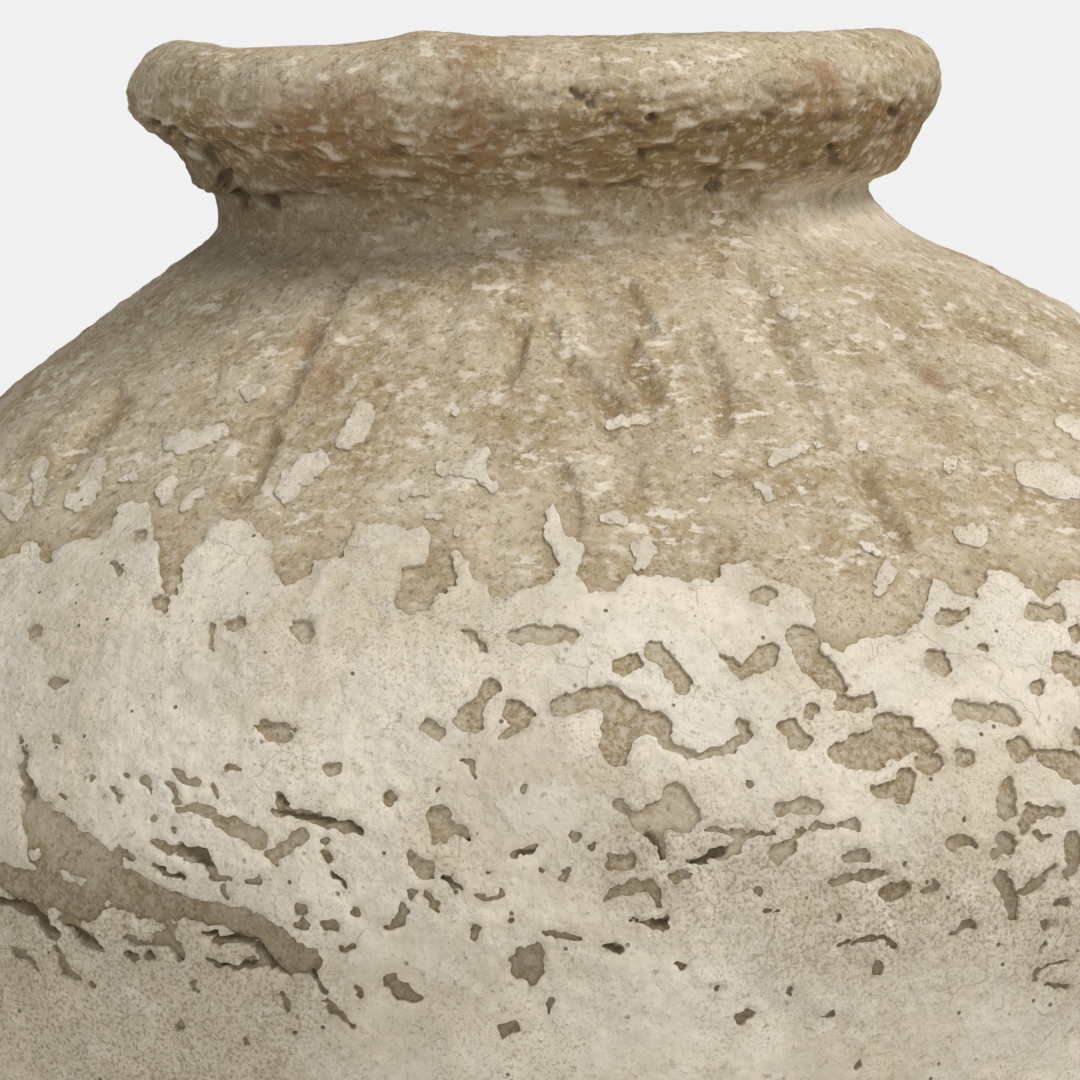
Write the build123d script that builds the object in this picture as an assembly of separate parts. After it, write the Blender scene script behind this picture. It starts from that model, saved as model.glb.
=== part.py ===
from build123d import *
import math
import os

# Driving sizes, in millimetres and degrees. Outside sizes are over the mud coat.
foot_radius = 118.0
foot_to_belly = 194.0
belly_radius = 189.0
belly_bend = 75.0
belly_to_throat = 117.0
throat_radius = 76.5
throat_bend = 6.0
collar_height = 38.5
collar_bend = 4.0
lip_radius = 93.5
lip_bead = 12.3
wall = 11.0
floor_thickness = 15.0
foot_recess = 3.0
foot_ring = 26.0
mud = 3.0
plaster = 1.2
shoulder_lean = 3.4
rim_tilt = 1.4
joint_lap = 8.0
coil_radius = 7.0
mud_stop = 3.0
plaster_stop = 7.0
plaster_edge = 152.0
edge_wave = 7.0
edge_breaks = 96
plaster_reach = 5.0
back_chips = 22
low_chips = 20
back_flakes = 10
drip_count = 26
drip_start = 8.0
drip_length = 34.0
drip_radius = 5.0
drip_rise = 1.1

# Insets below the mud surface at which the other surfaces of the wall lie
core_face = mud
cavity_face = mud + wall

# Leaning frames: the shoulder turns about the belly centre, the collar about the throat centre
belly_place = Location((0, 0, foot_to_belly), (0, -shoulder_lean, 0))
throat_place = belly_place * Location((0, 0, belly_to_throat))
collar_turn = shoulder_lean - rim_tilt
collar_place = throat_place * Location((0, 0, 0), (0, collar_turn, 0))

# Round zones at belly and throat let a leaning section meet an upright one along a full circle
belly_zone = shoulder_lean + 2.0
throat_zone = collar_turn + 0.6

REACH = 2 * (belly_radius + foot_to_belly + belly_to_throat)


def polar(centre, radius, angle):
    """Point at an angle, in degrees, and a distance from a centre."""
    turn = math.radians(angle)
    return (centre[0] + radius * math.cos(turn), centre[1] + radius * math.sin(turn))


def tangent_angle(hollow, bulge, reach, side):
    """Direction of the outward normal of the line that leaves a hollow bend and joins a bulging one."""
    across = hollow[0] - bulge[0]
    along = hollow[1] - bulge[1]
    spread = math.degrees(math.acos(reach / math.hypot(across, along)))
    return math.degrees(math.atan2(along, across)) + side * spread


def turned(edges):
    """Solid of revolution about the upright axis, from edges drawn as radius and height."""
    return revolve(Plane.XZ * make_face(Curve() + edges), axis=Axis.Z)


def ring(inner, outer, low, high):
    """Round band with straight sides."""
    band = Cylinder(outer, high - low, align=(Align.CENTER, Align.CENTER, Align.MIN))
    band -= Cylinder(inner, high - low, align=(Align.CENTER, Align.CENTER, Align.MIN))
    return Pos(0, 0, low) * band


def block(place, upward):
    """Half space above or below the level plane of a place."""
    rest = Align.MIN if upward else Align.MAX
    return place * Box(REACH, REACH, REACH, align=(Align.CENTER, Align.CENTER, rest))


# Bends of the shoulder profile, in the belly frame
bend_centre = (belly_radius - belly_bend, 0)
hollow_centre = (throat_radius + throat_bend, belly_to_throat)
slope_angle = tangent_angle(hollow_centre, bend_centre, belly_bend + throat_bend, -1)


def shoulder_form(inset):
    """Solid from the belly plane up to the throat plane, inside the surface at this inset."""
    bend = belly_bend - inset
    hollow = throat_bend + inset
    edges = [
        Line((0, 0), polar(bend_centre, bend, 0)),
        CenterArc(bend_centre, bend, 0, slope_angle),
        Line(polar(bend_centre, bend, slope_angle), polar(hollow_centre, -hollow, slope_angle)),
        CenterArc(hollow_centre, hollow, 180 + slope_angle, -slope_angle),
        Line(polar(hollow_centre, -hollow, 0), (0, belly_to_throat)),
        Line((0, belly_to_throat), (0, 0)),
    ]
    return belly_place * turned(edges)


# Sweep of the lower wall: it leaves the belly zone without a kink and ends at the foot
zone_start = polar((0, foot_to_belly), belly_radius, -belly_zone)
chord = (zone_start[0] - foot_radius, zone_start[1])
inward = polar((0, 0), 1, 180 - belly_zone)
sweep = -(chord[0] ** 2 + chord[1] ** 2) / (2 * (chord[0] * inward[0] + chord[1] * inward[1]))
sweep_centre = polar(zone_start, sweep, 180 - belly_zone)


def sweep_angle(inset, height):
    """Angle on the lower sweep at which the surface at this inset reaches a height."""
    return math.degrees(math.asin((height - sweep_centre[1]) / (sweep - inset)))


def sweep_radius(inset, height):
    """Radius of the lower wall's surface at this inset and height."""
    return polar(sweep_centre, sweep - inset, sweep_angle(inset, height))[0]


def lower_form(inset, bottom):
    """Solid from a level bottom up to the leaning belly plane, inside the surface at this inset."""
    start = sweep_angle(inset, bottom)
    belly = belly_radius - inset
    centre = (0, foot_to_belly)
    edges = [
        Line((0, bottom), polar(sweep_centre, sweep - inset, start)),
        CenterArc(sweep_centre, sweep - inset, start, -belly_zone - start),
        CenterArc(centre, belly, -belly_zone, 2 * belly_zone),
        Line(polar(centre, belly, belly_zone), (0, polar(centre, belly, belly_zone)[1])),
        Line((0, polar(centre, belly, belly_zone)[1]), (0, bottom)),
    ]
    return turned(edges) - block(belly_place, True)


# Collar profile, in the collar frame: round throat zone, flare, and the bead of the lip
bead_centre = (lip_radius - lip_bead, collar_height - lip_bead)
flare_centre = polar((0, 0), throat_radius + collar_bend, throat_zone)
flare_angle = tangent_angle(flare_centre, bead_centre, lip_bead + collar_bend, 1)
bore_radius = throat_radius - cavity_face
bore_top = polar((0, 0), bore_radius, throat_zone)
bead_core = lip_bead - mud
bead_reach = math.hypot(bead_centre[0] - bore_top[0], bead_centre[1] - bore_top[1])
bead_sight = math.degrees(math.atan2(bead_centre[1] - bore_top[1], bead_centre[0] - bore_top[0]))
bore_slope = bead_sight + math.degrees(math.asin(bead_core / bead_reach))


def collar_form(inset):
    """Collar wall between its bore and the surface at this inset, without the bead of the lip."""
    neck = throat_radius - inset
    bend = collar_bend + inset
    bead = lip_bead - inset
    bore_end = polar(bead_centre, bead_core, bore_slope + 90)
    flare_end = polar(bead_centre, bead, flare_angle)
    edges = [
        CenterArc((0, 0), neck, -throat_zone, 2 * throat_zone),
        CenterArc(flare_centre, bend, 180 + throat_zone, flare_angle - throat_zone),
        Line(polar(flare_centre, -bend, flare_angle), flare_end),
        Line(flare_end, bead_centre),
        Line(bead_centre, bore_end),
        Line(bore_end, bore_top),
        CenterArc((0, 0), bore_radius, throat_zone, -2 * throat_zone),
        Line(polar((0, 0), bore_radius, -throat_zone), polar((0, 0), neck, -throat_zone)),
    ]
    return collar_place * turned(edges) - block(throat_place, False)


def bead_form(radius):
    """Ring with a round section, on the centre line of the lip."""
    return collar_place * Pos(0, 0, bead_centre[1]) * Torus(bead_centre[0], radius)


# Fired clay sections, each with a stepped joint that laps half of the wall
floor_step = sweep_radius(cavity_face, floor_thickness) + wall / 2
belly_step = belly_radius - mud - wall / 2
throat_step = throat_radius - mud - wall / 2

belly_tongue = belly_place * ring(belly_step - wall, belly_step, 0, joint_lap)
throat_spigot = throat_place * ring(bore_radius - wall, throat_step, -joint_lap, 0)
shoulder_shell = shoulder_form(core_face) - shoulder_form(cavity_face)
lower_shell = lower_form(core_face, 0) - lower_form(cavity_face, floor_thickness)

floor_cut = Cylinder(REACH, floor_thickness - joint_lap, align=(Align.CENTER, Align.CENTER, Align.MIN))
floor_cut += Cylinder(floor_step, floor_thickness, align=(Align.CENTER, Align.CENTER, Align.MIN))
recess_radius = sweep_radius(core_face, 0) - foot_ring
recess_top = recess_radius - foot_recess
recess = Cone(recess_radius, recess_top, foot_recess, align=(Align.CENTER, Align.CENTER, Align.MIN))

floor_disc = lower_shell & floor_cut
floor_disc -= recess
lower_wall = lower_shell - floor_cut + (shoulder_shell & belly_tongue)
shoulder_wall = shoulder_shell - belly_tongue - throat_spigot
neck_collar = collar_form(core_face) - bead_form(bead_core) + (shoulder_shell & throat_spigot)
lip_roll = bead_form(bead_core)

# Coils of soft clay pressed into the joints from inside
floor_corner = sweep_radius(cavity_face, floor_thickness)
floor_seam_coil = Pos(0, 0, floor_thickness) * Torus(floor_corner - coil_radius / 3, coil_radius)
floor_seam_coil -= lower_shell
belly_seam_coil = belly_place * Pos(0, 0, joint_lap) * Torus(belly_radius - cavity_face, coil_radius)
belly_seam_coil -= lower_wall + shoulder_wall
neck_seam_coil = throat_place * Pos(0, 0, -joint_lap) * Torus(bore_radius + coil_radius / 3, coil_radius)
neck_seam_coil -= neck_collar + shoulder_wall

# Mud coat in three lifts: collar and lip, shoulder with raised drip runs, belly
slope_start = polar(bend_centre, belly_bend, slope_angle)
slope_fall = math.tan(math.radians(90 - slope_angle))


def facing(azimuth):
    """Place turned from the front of the pot towards its right-hand side."""
    return belly_place * Location((0, 0, 0), (0, 0, azimuth - 90))


def on_slope(plan_radius, lift):
    """Point over the straight of the shoulder, as radius and height in the belly frame."""
    height = slope_start[1] + (slope_start[0] - plan_radius) * slope_fall
    return polar((plan_radius, height), lift, slope_angle)


def drip_run(azimuth, length):
    """Round-ended run of mud that starts under the throat and follows the slope."""
    start = on_slope(throat_radius + drip_start, drip_rise - drip_radius)
    end = on_slope(throat_radius + drip_start + length, drip_rise - drip_radius)
    rail = Line((start[0], 0, start[1]), (end[0], 0, end[1]))
    run = extrude(Plane(origin=rail @ 0, z_dir=rail % 0) * Circle(drip_radius), rail.length)
    run += Pos(*(rail @ 0)) * Sphere(drip_radius)
    run += Pos(*(rail @ 1)) * Sphere(drip_radius)
    return facing(azimuth) * run


drip_runs = []
for run in range(drip_count):
    sway = math.sin(2.4 * run)
    drip_runs.append(drip_run((run + 0.3 * sway) * 360 / drip_count, drip_length * (1 + 0.3 * sway)))

mud_coat_collar = collar_form(0) + bead_form(lip_bead) - collar_form(core_face) - bead_form(bead_core)
mud_coat_shoulder = (shoulder_form(0) + drip_runs) - shoulder_form(core_face)
mud_coat_belly = lower_form(0, mud_stop) - lower_form(core_face, 0)

# Lime plaster with a ragged upper edge, patches where it has come off and flakes that have stayed on
GOLDEN_SHARE = 0.618034


def ragged_edge():
    """Plan outline of the shoulder that the plaster leaves bare, broken into short straight edges."""
    points = []
    for step in range(edge_breaks):
        azimuth = (step + 0.4) * 360 / edge_breaks
        turn = math.radians(azimuth)
        wave = math.sin(5 * turn + 0.6) + 0.7 * math.sin(9 * turn + 2.1) + 0.8 * math.sin(37 * turn)
        points.append(polar((0, 0), plaster_edge + edge_wave * wave / 2, azimuth))
    return make_face(Polyline(points, close=True))


def blot(width, height, seed):
    """Uneven closed outline of a chip or flake."""
    points = []
    for step in range(9):
        share = 1 + 0.22 * math.sin(2.3 * step * step + seed)
        turn = math.radians(40 * step)
        points.append((width / 2 * share * math.cos(turn), height / 2 * share * math.sin(turn)))
    return make_face(Spline(points, periodic=True))


def chip_prism(place, width, height, seed):
    """Prism that stands across the plaster at a place whose Z axis points out of the wall."""
    return place * extrude(blot(width, height, seed), plaster_reach, both=True)


def wall_place(turned_frame, radius, height, rise):
    """Place on a wall, with X along the wall, Y up it and Z out of it at an angle above the level."""
    return turned_frame * Location((radius, 0, height), (0, 90 - rise, 0)) * Location((0, 0, 0), (0, 0, 90))


def bend_place(azimuth, rise):
    """Place on the mud surface of the belly bend, at an angle above the belly plane."""
    return wall_place(facing(azimuth), *polar(bend_centre, belly_bend, rise), rise)


def slope_place(azimuth, plan_radius):
    """Place on the mud surface of the straight of the shoulder."""
    return wall_place(facing(azimuth), *on_slope(plan_radius, 0), slope_angle)


def sweep_place(azimuth, height):
    """Place on the mud surface of the lower sweep."""
    upright = Location((0, 0, 0), (0, 0, azimuth - 90))
    return wall_place(upright, sweep_radius(0, height), height, sweep_angle(0, height))


# Bare chips seen on the front: azimuth, rise on the bend, width and height
front_chips = [
    (-30, 39, 7, 16),
    (-26, 26, 8, 22),
    (-20, 18, 22, 7),
    (-14, 52, 7, 4),
    (-14, 38, 9, 5),
    (-13, 9, 15, 6),
    (-6, 24, 10, 7),
    (-6, 37, 6, 4),
    (-7, 5, 6, 5),
    (-2, 37, 9, 5),
    (-1, 7, 5, 9),
    (0, 49, 10, 4),
    (4, 19, 7, 4),
    (5, 45, 8, 4),
    (7, 34, 20, 7),
    (7, 24, 12, 7),
    (11, 42, 8, 4),
    (13, 32, 7, 4),
    (13, 18, 10, 4),
    (19, 29, 14, 9),
    (19, 21, 9, 5),
    (19, 11, 12, 4),
    (24, 34, 8, 6),
    (29, 26, 11, 7),
]
# Flakes left on the bare shoulder at the front: azimuth, plan radius, width and height
front_flakes = [
    (-44, 131, 8, 7),
    (-34, 126, 6, 8),
    (-30, 113, 6, 5),
    (-18, 129, 12, 14),
    (-6, 133, 6, 6),
    (8, 125, 5, 6),
    (20, 136, 7, 7),
    (43, 137, 7, 6),
]

shoulder_chips = []
for azimuth, rise, width, height in front_chips:
    shoulder_chips.append(chip_prism(bend_place(azimuth, rise), width, height, azimuth))
belly_chips = []
for chip in range(back_chips):
    azimuth = 45 + 270 * (GOLDEN_SHARE * chip % 1)
    size = 9 + 5 * math.sin(1.7 * chip)
    rise = 26 + 22 * math.sin(2.9 * chip)
    shoulder_chips.append(chip_prism(bend_place(azimuth, rise), 1.4 * size, size, chip))
for chip in range(low_chips):
    height = foot_to_belly * (0.46 + 0.28 * math.sin(2.1 * chip))
    size = 10 + 6 * math.sin(1.3 * chip)
    belly_chips.append(chip_prism(sweep_place(360 * GOLDEN_SHARE * chip, height), size, 1.2 * size, chip))

flake_prisms = []
for azimuth, plan_radius, width, height in front_flakes:
    flake_prisms.append(chip_prism(slope_place(azimuth, plan_radius), width, height, azimuth))
for flake in range(back_flakes):
    azimuth = 55 + 250 * (GOLDEN_SHARE * flake % 1)
    plan_radius = plaster_edge - 22 - 9 * math.sin(2.2 * flake)
    size = 7 + 3 * math.sin(1.9 * flake)
    flake_prisms.append(chip_prism(slope_place(azimuth, plan_radius), size, size, flake))

plaster_skin = shoulder_form(-plaster) - shoulder_form(0)
bare_shoulder = belly_place * extrude(ragged_edge(), REACH, dir=(0, 0, 1))
plaster_coat_shoulder = plaster_skin - bare_shoulder - shoulder_chips
plaster_coat_belly = lower_form(-plaster, plaster_stop) - lower_form(0, 0) - belly_chips
plaster_flakes = (plaster_skin & Compound(flake_prisms)) - drip_runs

nodes = {
    "floor_disc": floor_disc,
    "lower_wall": lower_wall,
    "shoulder_wall": shoulder_wall,
    "neck_collar": neck_collar,
    "lip_roll": lip_roll,
    "floor_seam_coil": floor_seam_coil,
    "belly_seam_coil": belly_seam_coil,
    "neck_seam_coil": neck_seam_coil,
    "mud_coat_collar": mud_coat_collar,
    "mud_coat_shoulder": mud_coat_shoulder,
    "mud_coat_belly": mud_coat_belly,
    "plaster_coat_shoulder": plaster_coat_shoulder,
    "plaster_coat_belly": plaster_coat_belly,
    "plaster_flakes": plaster_flakes,
}

os.makedirs("parts", exist_ok=True)
for name, shape in nodes.items():
    export_step(shape, f"parts/{name}.step")
    print(name, len(shape.solids()), round(shape.volume), shape.is_valid)
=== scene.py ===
import functools
import itertools
import math
from collections import namedtuple

import bpy
import numpy as np
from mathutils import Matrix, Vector


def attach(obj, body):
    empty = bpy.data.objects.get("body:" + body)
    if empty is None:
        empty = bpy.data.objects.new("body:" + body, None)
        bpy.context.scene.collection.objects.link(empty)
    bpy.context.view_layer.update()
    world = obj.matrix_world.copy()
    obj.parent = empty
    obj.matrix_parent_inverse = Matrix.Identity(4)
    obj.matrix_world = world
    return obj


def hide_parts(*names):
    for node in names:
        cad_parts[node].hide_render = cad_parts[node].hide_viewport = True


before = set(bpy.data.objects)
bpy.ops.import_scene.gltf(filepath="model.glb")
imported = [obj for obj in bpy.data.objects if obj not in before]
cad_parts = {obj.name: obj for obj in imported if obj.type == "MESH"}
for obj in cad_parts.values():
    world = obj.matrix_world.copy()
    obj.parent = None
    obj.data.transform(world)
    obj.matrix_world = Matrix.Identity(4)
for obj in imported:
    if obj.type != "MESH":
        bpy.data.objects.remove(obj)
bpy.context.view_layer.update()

bl_info = {
    "name": "Plastered urn vase",
    "version": (1, 0, 0),
    "blender": (4, 5, 0),
    "location": "3D View > Sidebar > Urn",
    "description": "Mud coat, chipped lime plaster and studio for a hand-built urn vase",
    "category": "Object",
}

MM = 0.001
BODY = "root"
PICTURE = 1080
MIDDLE = PICTURE / 2

# Sampling of the surfaces: azimuths and their steps in degrees, row spacing in millimetres, counts of rows
FRONT_HALF = 31.0
SIDE_HALF = 62.0
FRONT_STEP = 0.16
SIDE_STEP = 0.4
BACK_STEP = 1.3
FINE_ROW = 0.46
SLOPE_ROW = 0.75
LOW_ROW = 1.6
BELLY_ZONE_ROWS = 36
THROAT_ZONE_ROWS = 12
INNER_STEP = 12

# Coats: depths, gaps and heights in millimetres, and shares of the plaster's full thickness
COAT_INSET = 2.6
MUD_COVER = 2.3
PLASTER_SINK = 0.35
PLASTER_LINE = 78.0
FLAKE_GAP = 0.5
EDGE_ROUND = 0.6
EDGE_REACH = 10.0
# Reach of the dirt and painted shadow on the mud along the plaster's edges
EDGE_DIRT_AND_SHADOW_REACH = 0.35
EDGE_SHARE = 0.75
FLAKE_SHARE = 0.55

# Angles: end of the lip's roll in degrees, margins of the round zones beside the seams, least sharp edge
MOUTH_TURN = 196.0
BELLY_MARGIN = math.radians(2)
THROAT_MARGIN = math.radians(0.6)
SHARP_EDGE = math.radians(50)

# Marks: the camera's sensor and the wall's gauge in millimetres, reach in picture pixels, and soft limits
SENSOR = 36.0
WALL_GAUGE = 165.0
WALL_ROUND = WALL_GAUGE * 2 * math.pi
PIXELS_PER_MM = 6.0
FAR = 60.0
FACING_FADE = (0.02, 0.12)
PICTURE_FADE = 35.0
LEFT_SIDE = (0.5, 0.95)
RIGHT_SIDE = (0.45, 0.9)
DIMPLE_SPREAD = 0.02

# Flat coordinates for baking: degrees, height, start and fill of a band, and the strip for hidden faces
BAKE_TURN = 120
BAKE_BAND = 0.3
BAKE_START = 0.08
BAKE_ACROSS = 0.97
BAKE_MARGIN = 0.02
BAKE_RISE = 0.95
HIDDEN_START = 0.01
HIDDEN_HEIGHT = 0.05

# Depth or rise of the relief in millimetres
HOLE_DEPTH = 0.9
FURROW_DEPTH = 1.9
TEAR_DEPTH = 1.2
PIT_DEPTH = 1.8
WRINKLE_DEPTH = 1.3
BLISTER_RISE = 0.18

# Unevenness as layers of noise: strength and spacing in millimetres, and seed
WALL_WAVES = ((0.9, 60, 1), (0.5, 27, 2))
MUD_LUMPS = ((0.45, 11, 3), (0.34, 5.5, 4), (0.24, 2.6, 5), (0.14, 1.4, 6))
MUD_RUNS = ((0.8, 13, 71), (0.5, 6, 72))
WRINKLES = ((0.6, 2.6, 81), (0.4, 1.4, 82))
LIP_LUMPS = ((0.9, 34, 83), (0.5, 15, 84))
TROWEL_MARKS = ((0.3, 17, 91), (0.34, 7, 92), (0.22, 3, 93))
BACK_EDGE = ((12, 46, 51), (9, 15, 52), (4.5, 7.5, 53), (2.25, 3.75, 54))
FOOT_EDGE = ((1.5, 14, 64),)
NECK_EDGE = ((6, 12, 73),)
WRINKLE_DRIFT = ((1.3, 9, 87),)

# Holes in the mud: spacing in millimetres and seed, of the holes and of the clouds they lie in
HOLE_SPOTS = (7, 7)
HOLE_CLOUDS = (20, 8)

# Runs of the mud: gauge radius in millimetres, and how far they are drawn out down the slope
RUN_GAUGE = 110
RUN_STRETCH = 0.16

# Soft outlines of the strokes, in pixels: reach, and depths at which a mark starts and is full
FURROW_SOFT = (12, -8, 6)
TEAR_SOFT = (8, -2, 2)
PIT_SOFT = (12, -3, 3)
SHOULDER_STAIN_SOFT = (20, -16, 6)
LIP_STAIN_SOFT = (30, -22, 8)
SOIL_SOFT = (90, -85, 20)

# Ragged outlines of the marks: reach and spacing in the units of the marks, and seed
EDGE_RAGGED = (5.0, 15.0, 21)
FURROW_RAGGED = (3.0, 16.0, 31)
WALL_RAGGED = (2.2, 6.0, 41)
PIT_RAGGED = (4.0, 9.0, 85)
STAIN_RAGGED = (9.0, 30.0, 86)
SOIL_RAGGED = (14.0, 40.0, 96)

# Chance strokes away from the front: seed, count, heights over the belly seam and half widths in millimetres
WIDE_CHIPS = (61, 85, (-185, 82), (1.2, 6.5))
SMALL_CHIPS = (63, 420, (-185, 82), (0.5, 2.6))
BEND_CHIPS = (64, 230, (-25, 64), (0.8, 4.0))
BACK_FLAKES = (62, 120, (68, 124), (0.8, 4.2))

CLAY_NODES = (
    "floor_disc", "lower_wall", "shoulder_wall", "neck_collar", "lip_roll",
    "floor_seam_coil", "belly_seam_coil", "neck_seam_coil",
)

# Finishes: refraction and gloss of matt mineral surfaces, and scale that draws smears of lime out level
MINERAL_IOR = 1.5
MATT_SPECULAR = 0.2
LEVEL_STRETCH = (0.55, 0.55, 1.2)

# Nodes: output range that falls from 1 to 0, and number of the mix's colour output
FALLING = {"To Min": 1.0, "To Max": 0.0}
MIXED_COLOUR = 2

# Stage: place in metres, breadth in metres and power in watts of each lamp
LAMPS = (
    ("key", (0.75, -0.4, 1.4), 0.5, 12.2),
    ("fill", (-0.2, -1.6, 0.7), 1.5, 7.1),
)
LAMP_TARGET = (0, 0, 0.25)
AMBIENT = 0.35
BACKGROUND = "#F0F0F0"
FLOOR_RADIUS = 0.9
FLOOR_CORNERS = 96
CAMERA_NEAR = 0.01

# Marks read from the front of the pot, in picture pixels: the plaster's upper edge as points of x and y
UPPER_EDGE = [
    (-60, 560), (0, 560), (18, 553), (28, 540), (37, 547), (45, 565), (52, 555), (70, 542), (100, 540),
    (110, 528), (120, 506), (150, 505), (155, 525), (160, 560), (165, 598), (180, 600), (188, 560),
    (200, 552), (213, 530), (222, 522), (250, 525), (270, 545), (283, 590), (312, 577), (318, 562),
    (345, 562), (348, 545), (355, 525), (385, 527), (425, 532), (430, 542), (424, 565), (405, 570),
    (395, 610), (412, 617), (431, 612), (440, 595), (458, 591), (452, 552), (467, 562), (478, 585),
    (492, 602), (512, 600), (525, 590), (545, 588), (562, 568), (545, 540), (546, 515), (553, 507),
    (560, 517), (565, 536), (585, 550), (576, 575), (585, 590), (605, 594), (616, 590), (628, 578),
    (650, 576), (690, 584), (718, 580), (722, 566), (750, 565), (762, 575), (780, 586), (800, 592),
    (810, 603), (815, 640), (840, 655), (862, 640), (900, 640), (915, 625), (925, 605), (932, 580),
    (945, 588), (960, 600), (975, 602), (986, 571), (1000, 572), (1015, 580), (1030, 597), (1045, 605),
    (1052, 585), (1140, 580),
]
# Flakes and chips as strokes of x, y and half width
ISLANDS = [
    [(40, 462, 6), (38, 480, 6), (36, 497, 5)], [(5, 500, 10), (12, 508, 8)],
    [(100, 464, 6), (90, 482, 10), (76, 500, 10)], [(122, 478, 3), (136, 478, 3)],
    [(170, 484, 7), (163, 497, 8)], [(203, 490, 4), (186, 508, 5)],
    [(318, 465, 12), (300, 478, 13), (286, 495, 11)], [(486, 452, 6), (470, 470, 9), (440, 470, 6)],
    [(480, 470, 9), (495, 490, 3)], [(405, 496, 6), (425, 490, 7)], [(424, 518, 3), (440, 519, 3)],
    [(457, 531, 5)], [(606, 518, 6), (620, 520, 7)], [(645, 548, 12), (641, 562, 8)],
    [(718, 474, 3), (735, 474, 3)], [(755, 485, 4), (765, 492, 6), (774, 496, 3)],
    [(775, 458, 6), (800, 448, 8)], [(698, 450, 5)], [(860, 548, 4), (875, 557, 5)],
    [(885, 577, 9), (878, 590, 7)], [(965, 532, 9), (980, 534, 9)],
    [(1022, 472, 10), (1050, 482, 14), (1078, 492, 12)], [(948, 467, 6)], [(845, 668, 9)],
    [(222, 432, 7), (200, 440, 9), (170, 445, 8)], [(245, 393, 5), (258, 390, 6)],
    [(365, 412, 10), (360, 430, 12), (345, 445, 9)], [(610, 418, 4), (630, 420, 5), (648, 418, 5)],
    [(1060, 428, 8), (1078, 435, 10)], [(820, 445, 5)], [(865, 445, 6)], [(456, 413, 4)],
    [(232, 842, 6)], [(790, 312, 9)], [(778, 290, 6)], [(10, 842, 8), (28, 852, 8), (40, 858, 3)],
    [(112, 905, 3), (128, 912, 4), (142, 914, 3)], [(66, 870, 2), (76, 880, 3), (84, 884, 2)],
]
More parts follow.
